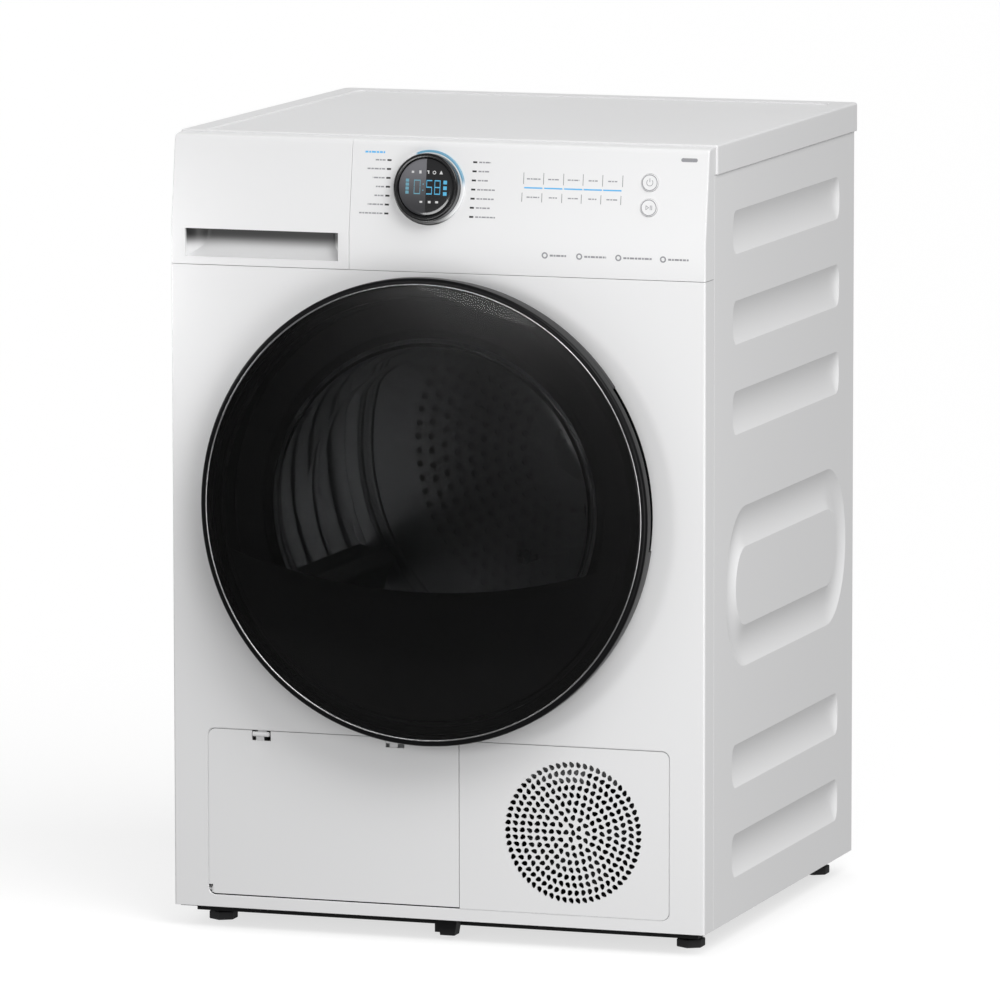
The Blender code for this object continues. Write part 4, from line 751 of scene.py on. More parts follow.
class DRYER_OT_front(bpy.types.Operator):
    """Folds the steel front, and cuts the door, service and lock openings."""
    bl_idname = "dryer.front"
    bl_label = "Front"

    def execute(self, context):
        p, fold = PANEL, sizes().fold / MM
        front = block("front_sheet", *p)
        edge_bevel(front, fold, 4, lambda a, b: max(a[1], b[1]) < 0.1 and abs(a[0] - b[0]) < 0.1)
        edge_bevel(front, fold * 0.5, 3, lambda a, b: max(a[1], b[1]) < 0.1 and abs(a[2] - b[2]) < 0.1)
        without_faces(front, lambda at, n: n.y > 0.99)
        walled(front)
        cut(front, turned("opening", [(0, -3), (OPENING_R, -3), (OPENING_R, 4), (0, 4)], DOOR))
        for gap, radius, deep in ((0.3, 8, 4), (1.3, 9, 0.9)):
            service = rounded(-GRILLE.x1 - gap, GRILLE.x1 + gap, GRILLE.z0 - gap, GRILLE.z1 + gap + 0.2, radius, 8)
            cut(front, slab("service", service, -3, deep))
        cut(front, block("lock_slot", DOOR_R - 33.5, DOOR_R - 17.5, -3, 4, DOOR_Z - 14, DOOR_Z + 14),
            block("under", -HALF + SHEET, HALF - SHEET, 7, 40, p.z0 - 5, p.z0 + SHEET + 0.5))
        edge, pin = -GRILLE.x1, joint("flap_hinge")["pos_m"][2] / MM
        for box in ((edge - 4, edge + 1.2, 6.6, 7.6), (edge - 4, edge - 3, 0.6, 7.6)):
            fused(front, block("seat", *box, pin - 8, pin + 9))
        settled(smoothed(front, 24), "front_panel")
        lips = ((14.4, -3.6), (12, -4.0), (8, -3.4), (5, -4.0), (2.4, -3.6), (0, -0.5), (0.4, 3.0), (7.4, 3.0),
                (14.4, 0.0))
        seal = [(SEAL.x1 - inwards, max(y, SEAL.y0)) for inwards, y in lips]
        settled(eased(turned("seal_lip", seal, DOOR), 0.5, 2), "door_seal")
        return {"FINISHED"}


def screw_head(name, radius):
    """A domed screw head with a cross cut into it, facing back from the origin."""
    dome = turned(name, [(0.0, 0.45 * radius), (0.5 * radius, 0.40 * radius), (0.85 * radius, 0.22 * radius),
                         (radius, 0.0), (0.0, 0.0)], (0.0, 0.0), 20, placed=flat)
    for wide, high in ((0.55, 0.12), (0.12, 0.55)):
        cut(dome, block("cross", -wide * radius, wide * radius, 0.25 * radius, radius, -high * radius,
                        high * radius, placed=flat))
    return smoothed(dome, 25)


class DRYER_OT_back(bpy.types.Operator):
    """Finishes the rear panel and the duct cover, with their screws and the lead's gland."""
    bl_idname = "dryer.back"
    bl_label = "Back"

    def execute(self, context):
        back = cad("rear_panel")
        trimmed("rear_panel", 0.25, 1)
        trimmed("rear_duct_cover", 0.5)
        trimmed("power_inlet", 0.9, 3)
        motor = cad("motor_pulley")
        upper_r, lower_r, cover_skin = 176, 72, 1.6
        duct = arc((0, DOOR_Z), upper_r, 12, 168, 6)
        duct += arc(((motor.x0 + motor.x1) / 2, (motor.z0 + motor.z1) / 2), lower_r, 190, 350, 4)
        places = [(x, back.y1 + cover_skin, z) for x, z in duct]
        places += [(sx, back.y1, sz) for sx in (back.x0 + 12, back.x1 - 12) for sz in (60, 200, 340, 480, 620, 780)]
        places += [(sx, back.y1, sz) for sx in (-150, 0, 150) for sz in (back.z0 + 14, back.z1 - 14)]
        heads = copied(screw_head("screw", 4.2), [Matrix.Translation(world(place)) for place in places])
        added(joined("rear_screws", heads), "rear_panel", LOOKS["zinc_steel"])
        return {"FINISHED"}


class DRYER_OT_base(bpy.types.Operator):
    """Finishes the base tray and the four levelling feet."""
    bl_idname = "dryer.base"
    bl_label = "Base and feet"

    def execute(self, context):
        tray, ledge = cad("base_tray"), PANEL.z0 - 2.2
        band = block("band", tray.x0 - 5, tray.x1 + 5, tray.y0 - 5, tray.y1 + 5, 0, ledge)
        cut(band, block("middle", tray.x0 + 12, tray.x1 - 12, tray.y0 + 25, tray.y1 - 2, -5, ledge + 5))
        base = cut(refined("base_tray", 0.7), band)
        nub = slab("nub", [(-3, ledge + 0.8), (19, ledge + 0.8), (16, tray.z0 + 0.3), (0, tray.z0 + 0.3)], 10, 26)
        settled(smoothed(fused(base, nub), 30), "base_tray")
        for place in ("front_left", "front_right", "rear_left", "rear_right"):
            node = "foot_" + place
            foot = cad(node)
            x, y = (foot.x0 + foot.x1) / 2, (foot.y0 + foot.y1) / 2
            pad_r, nut_r = 15.5, 9.6
            pad = arc((x, y), pad_r, 30, 330)
            made = edge_bevel(slab(node + "_pad", pad, 0, 9, "z"), 1.2, 3, lambda a, b: a[2] == b[2])
            thread = [(0.0, 6.0)] + [(r, 6.0 + 1.5 * i + dz) for i in range(20)
                                     for r, dz in ((4.3, 0.0), (5.0, 0.55), (5.0, 0.75), (4.3, 1.3))]
            thread += [(4.3, 36.4), (0.0, 37.0)]
            nut = edge_bevel(slab("nut", arc((x, y), nut_r, 30, 330), 10.2, 15.6, "z"), 0.8, 2,
                             lambda a, b: a[2] == b[2])
            settled(smoothed(fused(made, turned("thread", thread, (x, y), 24, along="z"), nut), 30), node)
        return {"FINISHED"}


# Control panel and drawer

def face_profile():
    """Section of the control panel in Y, Z, with its top edge rounded."""
    top, front = FACE_TOP, FACE_Y
    return [(0.0, FASCIA.z0), (0.0, CREASE), (front - 0.6, top - 4.2), (front + 0.3, top - 0.6),
            (front + 1.5, top + 1.2), (front + 3.6, top + 2.1), (front + 7.0, top + 2.4),
            (FASCIA.y1, FASCIA.z1), (FASCIA.y1, SIDE.z1 + 0.6), (SIDE.y0 - 0.3, SIDE.z1 + 0.6),
            (SIDE.y0 - 0.3, FASCIA.z0)]


def hollow_profile(wall):
    """Section of the room behind the control panel's wall."""
    under, back = FACE_TOP - wall * 1.1, 50
    return [(wall, FASCIA.z0 + wall), (wall, CREASE - 0.2), (FACE_Y + wall * 0.8, under + 2),
            (back, under + 3), (back, FASCIA.z0 + wall)]


def face_shell(name, left, right):
    made = slab(name, face_profile(), left, right, "x")
    for end in (left, right):
        edge_bevel(made, 1.8 if abs(abs(end) - HALF) < 1 else 0.5, 4,
                   lambda a, b: abs(a[0] - end) < 0.1 and abs(b[0] - end) < 0.1 and max(a[1], b[1]) < 30)
    wall = 2.5
    return cut(made, slab("hollow", hollow_profile(wall), left + wall, right - wall, "x"))


def face_turned(name, profile, x=0, z=0, steps=STEPS):
    """Spins a profile about a place on the leaning face."""
    return on_face(turned(name, profile, (x, z), steps, placed=flat))


def face_hole(x, z, radius):
    return face_turned("hole", [(0, -20), (radius, -20), (radius, 20), (0, 20)], x, z, FINE)


def key_place(name):
    """A key's centre in the leaning face's frame, in millimetres."""
    key = cad(name)
    at = FACE.inverted() @ world(((key.x0 + key.x1) / 2, (key.y0 + key.y1) / 2, (key.z0 + key.z1) / 2))
    return at.x / MM, at.z / MM


class DRYER_OT_fascia(bpy.types.Operator):
    """Moulds the control panel, with its holes for the dial and the keys."""
    bl_idname = "dryer.fascia"
    bl_label = "Control panel"

    def execute(self, context):
        shell = face_shell("fascia_shell", FASCIA.x0, FASCIA.x1)
        cut(shell, face_hole(0, 0, 12.0), *(face_hole(*key_place(name), 9.7) for name in KEYS))
        settled(smoothed(shell, 24), "control_fascia")
        trimmed("control_board", 0.2, 1)
        return {"FINISHED"}


class DRYER_OT_drawer(bpy.types.Operator):
    """Moulds the drawer's front with its grip pocket, and finishes the tank and its guide."""
    bl_idname = "dryer.drawer"
    bl_label = "Water drawer"

    def execute(self, context):
        left, right = DRAWER.x0 + 16, DRAWER.x0 + 188.5
        low, high, deep = CREASE - 30.5, CREASE - 0.5, 19.5
        front = face_shell("drawer_front", DRAWER.x0, DRAWER.x1)
        for y0, top in ((1.0, high + 2.3), (3.2, high + 14.3)):
            fused(front, block("pocket_wall", left - 2.5, right + 2.5, y0, deep + 2.5, low - 2.5, top))
        scoop = [(-3, low), (0.8, low)] + arc((deep - 20, low + 19), 19.3, -80, -4, 10)
        scoop += [(deep, high + 12), (5.5, high + 12), (4.5, high + 1.2), (3.4, high), (-3, high)]
        plan = [(left, -3)] + [(left + 30 * (1 - math.cos(a)), deep * math.sin(a)) for a in
                               [math.pi / 2 * i / 10 for i in range(11)]]
        plan += arc((right - 16, deep - 16), 16, 90, 0, 8) + [(right, -3)]
        pocket = slab("pocket", scoop, left - 1, right + 1, "x")
        boolean(pocket, "INTERSECT", [slab("plan", plan, low - 3, high + 15, "z")])
        # The drawer front's material carries painted shade inside the grip pocket.
        with_painted_shade = grip_painted_shade_finish("drawer_white_painted_shade", colours().plastic, low, high)
        settled(smoothed(cut(front, pocket), 24), "tank_front", with_painted_shade)
        trimmed("water_tank", 1.5, 3)
        trimmed("tank_guide", 0.6)
        return {"FINISHED"}


class DRYER_OT_dial(bpy.types.Operator):
    """Turns the dial, its display window and the lit ring behind it."""
    bl_idname = "dryer.dial"
    bl_label = "Dial"

    def execute(self, context):
        halo = [(33, -2.3), (33, -0.3), (39.7, -0.3), (39.7, -1.2), (39.3, -1.8), (38.6, -2.2), (37.8, -2.3)]
        settled(smoothed(face_turned("halo", halo), 40), "knob_light_ring")
        barrel = [(24, -2.7), (24, -5), (30.9, -7), (30.9, -12.9), (31.1, -13.6), (31.8, -14.0)]
        barrel += arc((33.6, -11.8), 2.2, -90, 0, 6)
        barrel += [(35.8, -5.2), (35.4, -4.9), (35.4, -4.3), (35.8, -4.0), (35.8, -2.7)]
        settled(smoothed(face_turned("dial_barrel", barrel), 30), "knob")
        window = [(0, LENS_Y), (26, LENS_Y), (29.0, LENS_Y + 0.1), (30.0, LENS_Y + 0.4), (30.4, LENS_Y + 1.0),
                  (30.4, -9.0), (23.6, -7.4), (23.6, -0.3), (11.6, -0.3), (11.6, 9.0), (0, 9.0)]
        settled(smoothed(face_turned("window", window), 30), "display_lens")
        return {"FINISHED"}


def flat_ring(name, x, z, inner, outer, front, back):
    return turned(name, [(inner, front), (outer, front), (outer, back), (inner, back)], (x, z), FINE, placed=flat)


class DRYER_OT_keys(bpy.types.Operator):
    """Turns the two round keys and prints a generic symbol on each."""
    bl_idname = "dryer.keys"
    bl_label = "Keys"

    def execute(self, context):
        cap = [(0, -1.0), (6.0, -1.05), (8.4, -1.2), (9.0, -1.1), (9.4, -0.6), (9.4, 4.5), (3.0, 4.5), (3.0, 7.8),
               (0, 7.8)]
        face, skin = -1.12, -0.9
        for name in KEYS:
            x, z = key_place(name)
            settled(smoothed(face_turned(name + "_cap", cap, x, z, FINE), 30), name)
            rim = flat_ring("rim", x, z, 7.7, 8.6, -1.26, -1.0)
            if name == "power_button":
                loop = turned("loop", [(3.1, face), (3.7, face), (3.7, skin), (3.1, skin)], (x, z), 24, placed=flat,
                              start=math.radians(130), sweep=math.radians(280))
                marks = [loop, block("bar", x - 0.35, x + 0.35, face, skin, z + 0.6, z + 4.4, placed=flat)]
            else:
                arrow = slab("arrow", [(x - 3.4, z - 2.6), (x + 0.4, z), (x - 3.4, z + 2.6)], face, skin,
                             placed=flat)
                hole = slab("inner", [(x - 2.8, z - 1.5), (x - 0.6, z), (x - 2.8, z + 1.5)], face - 1, 0,
                            placed=flat)
                marks = [cut(arrow, hole)]
                marks += [block("bar", x + dx, x + dx + 0.65, face, skin, z - 2.4, z + 2.4, placed=flat)
                          for dx in (1.3, 3.0)]
            added(on_face(joined(name + "_print", marks + [rim])), name, LOOKS["print_pale"])
        return {"FINISHED"}


def plates(name, boxes, front, back):
    """Thin printed plates in the leaning face's frame, joined. Each box is x0, x1, z0, z1."""
    made = [block("plate", x0, x1, front, back, z0, z1, placed=flat) for x0, x1, z0, z1 in boxes]
    return on_face(joined(name, made))


def word(x, z, length, height=1.5, side=1):
    """A row of short bars that stands for a printed word."""
    boxes, at = [], 0.0
    for run in itertools.cycle((3.4, 2.1, 4.6, 2.8)):
        if at >= length:
            return boxes
        ends = x + side * at, x + side * (at + min(run, length - at))
        boxes.append((min(ends), max(ends), z - height / 2, z + height / 2))
        at += min(run, length - at) + 0.8


DIGITS = {"0": "abcdef", "5": "afgcd", "8": "abcdefg"}


def digit(value, x, z, wide, high, line):
    """Seven-segment strokes as boxes, from the digit's lower left corner."""
    half = high / 2
    strokes = {"a": (0, wide, high - line, high), "g": (0, wide, half - line / 2, half + line / 2),
               "d": (0, wide, 0, line), "f": (0, line, half, high), "b": (wide - line, wide, half, high),
               "e": (0, line, 0, half), "c": (wide - line, wide, 0, half)}
    boxes, gap = [], 0.25
    for key, (left, right, low, top) in strokes.items():
        if key in DIGITS[value]:
            ends = gap if key in "fbec" else 0
            boxes.append((x + left + gap, x + right - gap, z + low + ends, z + top - ends))
    return boxes


class DRYER_OT_marks(bpy.types.Operator):
    """Prints the programme marks, touch-key dividers and bars, and lights the display."""
    bl_idname = "dryer.marks"
    bl_label = "Printed marks"

    def execute(self, context):
        fascia, display = ("control_fascia", "white_plastic"), ("display_lens", "display")
        up, skin, face, deep = -0.06, 0.15, LENS_Y - 0.08, LENS_Y + 0.3

        def at(x, z):
            return x - DIAL_X, (z - DIAL_Z) / math.cos(LEAN)

        def printed(piece, look, ground=fascia):
            added(piece, ground[0], LOOKS[look])

        dashes, words = [], []
        left = (11, 20, 13, 9, 10, 17, 26)
        right = (13, 12, 11, 20, 19, 16, 22)
        for row in range(7):
            share = row / 6
            x, z = at(-56 + 1.2 - share * 1.0, 831.4 - 55.8 * share)
            dashes.append((x - 2.3, x + 2.3, z - 0.95, z + 0.95))
            words += word(x - 4.4, z, left[row], side=-1)
            x, z = at(40.6 - 1.9 * share, 832 - 57 * share)
            dashes.append((x - 2.3, x + 2.3, z - 0.95, z + 0.95))
            words += word(x + 4.4, z, right[row])
        heading = word(*at(-82, 839.5), 22, 2.0)
        printed(plates("programme_dashes", dashes, up, skin), "print_black")
        printed(plates("heading_bars", heading, up, skin), "print_blue_painted_glow")

        dividers, lines = [], []
        columns = (95, 117, 139, 160.5, 182, 204)
        for i, column in enumerate(columns):
            for low, high, shift in ((811, 823, 0.0), (792.5, 802, -1.2)):
                (x, z0), z1 = at(column + shift, low), at(column, high)[1]
                dividers.append((x - 0.3, x + 0.3, z0, z1))
            if i < 5:
                x, z = at(column + 0.9, 807.2)
                lines.append((x, x + 20.2, z - 0.75, z + 0.75))
                for level, length in ((816.5, (15, 12, 13, 10, 10)[i]), (797.5, (14, 9, 11, 9, 12)[i])):
                    x, z = at(column + 11 - length / 2, level)
                    words += word(x, z, length, 1.3)
        printed(plates("key_dividers", dividers, up, skin), "print_grey")
        printed(plates("key_lines", lines, up, skin), "print_blue_painted_glow")
        printed(plates("label_bars", words, up, skin), "print_pale")
        x, z = at(276, 841)
        pill = slab("badge", rounded(x - 9, x + 9, z - 2, z + 2, 1.9, 5), up, skin, placed=flat)
        printed(on_face(pill), "print_pale")

        signs, level = [], CREASE - 16.6
        for x, run in ((121, 21), (159, 27), (202, 34), (251, 26)):
            disc = slab("sign", arc((x, level), 3.4, 0, 345, 23), up, skin)
            signs.append(cut(disc, slab("sign_hole", arc((x, level), 1.9, 0, 345, 23), -1, 1)))
            signs += [block("bar", x0, x1, up, skin, z0, z1) for x0, x1, z0, z1 in word(x + 5.6, level, run - 3, 2.0)]
        printed(joined("feature_signs", signs), "print_pale")

        pale = digit("0", -13.4, -7.6, 7.6, 15.2, 1.1)
        bright = digit("5", 0.4, -7.6, 6.8, 15.2, 1.15) + digit("8", 9.4, -7.6, 7.0, 15.2, 1.15)
        bright += [(19.4, 23.4, z, z + 3.8) for z in (-8.4, -2.4, 3.6)]
        pale += [(-22.4, -18.8, z, z + 3.2) for z in (-7.4, -3.2, 1.0, 5.2)]
        pale += [(-3.6, -2.4, z, z + 1.2) for z in (-3.9, 2.5)]
        white = [(-16.2, -13.6, 14.6, 16.8), (-7.8, -5.4, 14.2, 17.4), (2.0, 3.2, 14.2, 17.6), (0.9, 2.0, 16.6, 17.6),
                 (3.1, 6.0, -16.8, -14.4), (11.2, 14.4, -16.6, -14.4), (-6.2, -3.2, -16.6, -14.6)]
        printed(plates("display_digits", bright, face, deep), "lit_blue", display)
        printed(plates("display_bars", pale, face, deep), "lit_pale", display)
        icons = [block("icon", x0, x1, face, deep, z0, z1, placed=flat) for x0, x1, z0, z1 in white]
        icons.append(flat_ring("icon", 9.0, 15.6, 1.1, 1.9, face, deep))
        icons.append(slab("icon", [(14.6, 14.0), (18.4, 14.0), (16.5, 18.0)], face, deep, placed=flat))
        printed(on_face(joined("display_icons", icons)), "lit_white", display)
        return {"FINISHED"}


# Door

class DRYER_OT_door(bpy.types.Operator):
    """Turns the door's ring, trim, glass, frame and bowl, and finishes its hinge and strike."""
    bl_idname = "dryer.door"
    bl_label = "Door"

    def execute(self, context):
        r, y = DOOR_R, RING.y0
        seam = y + 15.0
        ring = [(r - 5.6, y)] + arc((r - 3.6, y + 3.6), 3.6, -90, 0) + [(r, seam - 3.5)]
        ring += arc((r - 1.5, seam - 2.0), 1.5, 0, 90, 4)[1:] + [(r - 8.0, seam), (r - 8.0, y + 21.5)]
        ring += arc((r - 4.6, y + 23.1), 1.6, -90, 0, 4) + [(r - 3.0, y + 32.5), (r - 4.4, y + 35.6),
                                                              (r - 8.5, y + 42.5), (r - 20.5, y + 42.5),
                                                              (r - 20.5, y + 8.5), (r - 12.5, y + 8.5),
                                                              (r - 12.5, y + 4.3), (r - 5.6, y + 4.3)]
        made = turned("ring_moulding", ring, DOOR, 180)
        half = 55.0
        cut(made, block("hinge_room", -r - 12, -r + 23.5, seam + 0.5, 5, DOOR_Z - half, DOOR_Z + half))
        grip = [(r - 16, seam + 0.5), (r + 8, seam + 0.5), (r + 8, y + 37.5), (r - 13, y + 37.5), (r - 16, y + 34.5)]
        cut(made, turned("grip", grip, DOOR, FINE, start=math.radians(-8), sweep=math.radians(42)))
        settled(smoothed(made, 26), "door_ring")

        t = cad("door_trim")
        trim = [(r - 7.4, t.y1), (r - 7.4, t.y0 + 0.5)] + arc((r - 6.8, t.y0 + 0.6), 0.6, 180, 270, 3)[1:]
        trim += arc((r - 6.5, t.y0 + 0.6), 0.6, 270, 360, 3) + [(r - 5.9, t.y1)]
        settled(smoothed(turned("trim_ring", trim, DOOR, 180), 40), "door_trim")

        g = cad("door_glass")
        rim = r - 7.7
        sag = g.y0 + 3.0
        dome = [(rim * i / 14, g.y0 + (sag - g.y0) * (i / 14) ** 4) for i in range(14)]
        dome += [(rim - 1.2, sag - 0.25), (rim - 0.3, sag + 0.1), (rim, sag + 0.9), (rim, -42.5)]
        dome += [(rim * i / 10, -46.6 + 4.1 * (i / 10) ** 2) for i in range(9, 0, -1)] + [(0.0, -46.6)]
        settled(smoothed(turned("glass_dome", dome, DOOR, 180), 40), "door_glass")

        bowl = cad("door_bowl")
        b, deep = bowl.x1 - 14.0, bowl.y1
        inner = b + 5.0
        edge = r - 20.9
        frame_wall = [(edge, -37), (edge, -4.3), (inner, -4.3), (inner, -8.0), (edge - 7, -8.0),
                      (edge - 4.8, -9.0), (edge - 4.0, -11.0), (edge - 4.0, -37)]
        settled(eased(turned("frame_moulding", frame_wall, DOOR), 0.4, 2), "door_frame")
        glass = [(b + 14, bowl.y0), (b + 14, -8.3), (b, -8.3), (b - 0.8, -4.0), (b - 2.0, 4.0), (b - 9, 20.0)]
        glass += arc((b - 30, deep - 17), 14.0, 18, 88, 8) + [(b - 60, deep - 1.6), (b - 110, deep - 0.5),
                                                                (0.0, deep), (0.0, deep - 3.0)]
        glass += [(b - 110, deep - 3.5), (b - 60, deep - 4.6)] + arc((b - 30, deep - 17), 11.0, 88, 18, 8)
        glass += [(b - 12.0, 19.0), (b - 5, 3.0), (b - 3.5, bowl.y0)]
        settled(smoothed(turned("bowl_glass", glass, DOOR), 32), "door_bowl")
        reach, sink = 217, 85
        curve = [(x, DOOR_Z - sink + 0.0008 * x ** 2) for x in [reach * (i / 12 - 1) for i in range(25)]]
        mask = slab("window_mask", curve + arc(DOOR, 221.5, -12.6, -167.4, 60)[1:-1], -41.2, -39.4)
        added(smoothed(mask), "door_ring", LOOKS["black_plastic"])
        for node, width in (("hinge_leaf", 0.5), ("hinge_bracket", 0.5), ("door_strike", 0.4), ("door_lock", 0.8)):
            trimmed(node, width)
        x = joint("door_hinge")["pos_m"][0] / MM - 8.0
        heads = copied(screw_head("screw", 3.6),
                       [Matrix.Translation(world((x, -3.0, DOOR_Z + dz))) @ Matrix.Rotation(math.pi, 4, "Z")
                        for dz in (-46, -20, 20, 46)])
        added(joined("hinge_screws", heads), "hinge_bracket", LOOKS["zinc_steel"])
        return {"FINISHED"}


# Service opening

def teardrop(x, z, turn, long=7.0, wide=5.3):
    """Outline of an egg whose narrow end points along the turn, in degrees."""
    a, points = math.radians(turn), []
    for i in range(14):
        t = TAU * i / 14
        u, v = long / 2 * math.cos(t), wide / 2 * math.sin(t) * (1 - 0.3 * math.cos(t))
        points.append((x + u * math.cos(a) - v * math.sin(a), z + u * math.sin(a) + v * math.cos(a)))
    return points


class DRYER_OT_service(bpy.types.Operator):
    """Moulds the service flap, its latches, the air grille and the fan behind it."""
    bl_idname = "dryer.service"
    bl_label = "Service flap and grille"

    def execute(self, context):
        left, right = -258.2, 24.6
        low, high = GRILLE.z0 + 1.1, GRILLE.z1
        outline = [(right, low), (right, high)]
        outline += [p for p in rounded(left, right + 30, low, high, 8.0, 8) if p[0] < left + 9]
        front = slab("flap_sheet", outline, 0.0, 2.2)
        centres = [sum(cad(name)[0:2]) / 2 for name in ("flap_latch_left", "flap_latch_right")]
        hinge = joint("flap_hinge")["pos_m"]
        pin_y, pin_z = (hinge[1] - FRONT) / MM, hinge[2] / MM
        notch = 10.5
        tools = [block("notch", x - notch, x + notch, -3, 10, high - 10.6, high + 5) for x in centres]
        tools += [turned("dimple", [(0, -2.0), (30, -2.0), (30, -0.9), (22, -0.35), (12, 0.55), (0, 0.9)],
                         (x, high - 12.5), 60) for x in centres]
        tools.append(block("relief", left - 2, left + 4.4, -1, 3, pin_z - 4.0, pin_z + 5.8))
        eased(cut(front, *tools), 0.45, 3)
        extra = [block("rib", left + 16, right - 12, 1.5, 7, z, z + 2.2) for z in (low + 22, high - 32)]
        extra += [block("pad", x0, x1, 1.5, 7.2, low + 0.8, pin_z + 3)
                  for x0, x1 in ((left + 2.7, left + 11.7), (right - 9.6, right - 1.1))]
        extra += [turned("pin", [(0, x0), (1.5, x0), (1.5, x1), (0, x1)], (pin_y, pin_z), 16, along="x")
                  for x0, x1 in ((left - 5.8, left + 5.7), (right - 5.6, right + 6.8))]
        fused(front, *extra)
        cut(front, *(block("notch", x - notch, x + notch, 1.0, 10, high - 10.6, high + 5) for x in centres))
        settled(smoothed(front, 28), "service_flap")
        for name, x in zip(("flap_latch_left", "flap_latch_right"), centres):
            w, r = 9.3, 2.6
            roll = [(0, x - w), (r - 0.8, x - w), (r - 0.2, x - w + 0.2), (r, x - w + 0.8), (r, x + w - 0.8),
                    (r - 0.2, x + w - 0.2), (r - 0.8, x + w), (0, x + w)]
            latch = turned(name + "_roll", roll, (0.4, high - 3.6), 32, along="x")
            stems = ((x - 7, x + 5, 0.4, 4.6, high - 5.4, high - 1.6), (x - 7, x + 2, 3.6, 4.6, high - 20, high - 2),
                     (x - 5, x + 5, 3.4, 4.6, high - 2.5, high + 0.2))
            settled(smoothed(fused(latch, *(block("stem", *box) for box in stems)), 35), name)

        left, right, floor = 25.4, GRILLE.x1, GRILLE.z0
        corners = rounded(left - 30, right, floor, high, 8.0, 8)
        outline = [(left, high), (left, floor)] + corners[-9:] + corners[:9]
        plate = slab("grille_sheet", outline, 0.0, 2.0)
        fan = joint("fan_spin")["pos_m"]
        fx, fz = fan[0] / MM, fan[2] / MM
        pitch = sizes().vent_spacing / MM
        drops = [teardrop(fx, fz, 90)]
        rings = 9
        for k in range(1, rings + 1):
            count, lean = 7 * k - 2, 30 if k % 2 else -30
            for i in range(count):
                a = 360 * (i + 0.5 * (k % 2)) / count
                drops.append(teardrop(fx + pitch * k * math.cos(math.radians(a)),
                                      fz + pitch * k * math.sin(math.radians(a)), a + lean))
        cut(plate, joined("drops", [slab("drop", drop, -1.0, 3.0) for drop in drops]))
        fused(plate, *(block("lip", left + 12, right - 8, 1.2, 6.5, z, z + 2) for z in (floor + 8, high - 12)))
        settled(smoothed(plate, 30), "service_grille")
        trimmed("cooling_fan", 0.5)
        return {"FINISHED"}


# Drum

class DRYER_OT_drum(bpy.types.Operator):
    """Rolls the drum with its beads, perforates its rear wall and moulds the lifters."""
    bl_idname = "dryer.drum"
    bl_label = "Drum"

    def execute(self, context):
        s, sheet = SHELL, 1.5
        r, front, back = s.x1, s.y0, s.y1
        neck = cad("drum_front_seal").x1 + 1.5
        ribs = [(r, front + 26)]
        track = front + 62
        ribs += [(r - deep, track + y) for deep, y in
                 ((0, -6), (1, -4.4), (3, -2.6), (4, -1), (4, 5), (3, 6.6), (1, 8.4), (0, 10))]
        for bead in range(int(track + 64), int(back - 50), 66):
            ribs += [(r - deep, bead + y) for deep, y in
                     ((0, -11), (1.4, -8), (3.4, -4), (3.8, 0), (3.4, 4), (1.4, 8), (0, 11))]
        ribs += [(r, back - 22)]
        nose = [(neck, front), (neck, front + 7)] + [(neck + (r - neck) * (1 - math.cos(a)) / 2,
                                                      front + 9 + 17 * a / math.pi)
                                                     for a in [math.pi * i / 8 for i in range(1, 8)]]
        outer = nose + ribs + [(r, back)]
        inner = [(r - 8, back), (r - 8, back - sheet), (r - sheet, back - sheet)]
        inner += [(q - sheet, y) for q, y in reversed(ribs)] + [(q - sheet, y) for q, y in reversed(nose)]
        settled(smoothed(turned("drum_wrap", outer + inner, DOOR, 180), 30), "drum_shell")

        face, rear = back - sheet - 2.1, back - sheet - 0.3
        rim = r - sheet - 0.3
        disc = [(0.0, face - 1.2), (60, face - 1.2), (64, face), (rim - 34, face), (rim - 32, face - 2.4),
                (rim - 29, face - 2.4), (rim - 27, face), (rim - 22, face), (rim - 20, face - 2.4),
                (rim - 17, face - 2.4), (rim - 15, face), (rim, face), (rim, rear), (0.0, rear)]
        wall = turned("rear_disc", disc, DOOR, 180)
        punches = []
        pitch, hole = 15.5, sizes().wall_hole / MM
        hub, margin = 38, 46
        for k in range(3, 12):
            radius = hub + pitch * (k - 1)
            if radius > rim - margin:
                break
            count = int(TAU * radius / pitch / 3) * 3
            for i in range(count):
                a = TAU * (i + 0.5 * (k % 2)) / count
                cx, cz = radius * math.cos(a), DOOR_Z + radius * math.sin(a)
                punches.append(slab("punch", arc((cx, cz), hole, 0, 300), face - 3, rear + 2))
        cut(wall, joined("punches", punches))
        w = cad("drum_rear_wall")
        spindle = [(0.0, w.y0), (24, w.y0 + 1.2), (30, back - 10), (33.5, back - 5), (34, back - 3),
                   (34, back - sheet - 1), (24, back + 8), (10, back + 10), (9, back + 12), (9, w.y1), (0.0, w.y1)]
        settled(smoothed(fused(wall, turned("spindle", spindle, DOOR, 60)), 26), "drum_rear_wall")

        for place in ("top", "right", "left"):
            trimmed("drum_lifter_" + place, 4.0, 4)
        for node, width in (("drum_bearing", 0.5), ("drum_front_seal", 0.8), ("drum_belt", 0.3)):
            trimmed(node, width)
        return {"FINISHED"}


class DRYER_OT_inside(bpy.types.Operator):
    """Rounds the edges of the drive, heat pump and ducts inside the cabinet."""
    bl_idname = "dryer.inside"
    bl_label = "Inside pieces"

    def execute(self, context):
        widths = {"front_bulkhead": 0.6, "lint_filter": 0.6, "motor": 1.2, "motor_pulley": 0.3, "idler_pulley": 0.3,
                  "roller_left": 0.8, "roller_right": 0.8, "compressor": 1.5, "evaporator": 0.0, "condenser": 0.0,
                  "air_duct": 0.6, "blower_housing": 0.6, "blower_wheel": 0.0, "condensate_pump": 0.8,
                  "inner_cover": 1.0}
        for node, width in widths.items():
            trimmed(node, width)
        return {"FINISHED"}


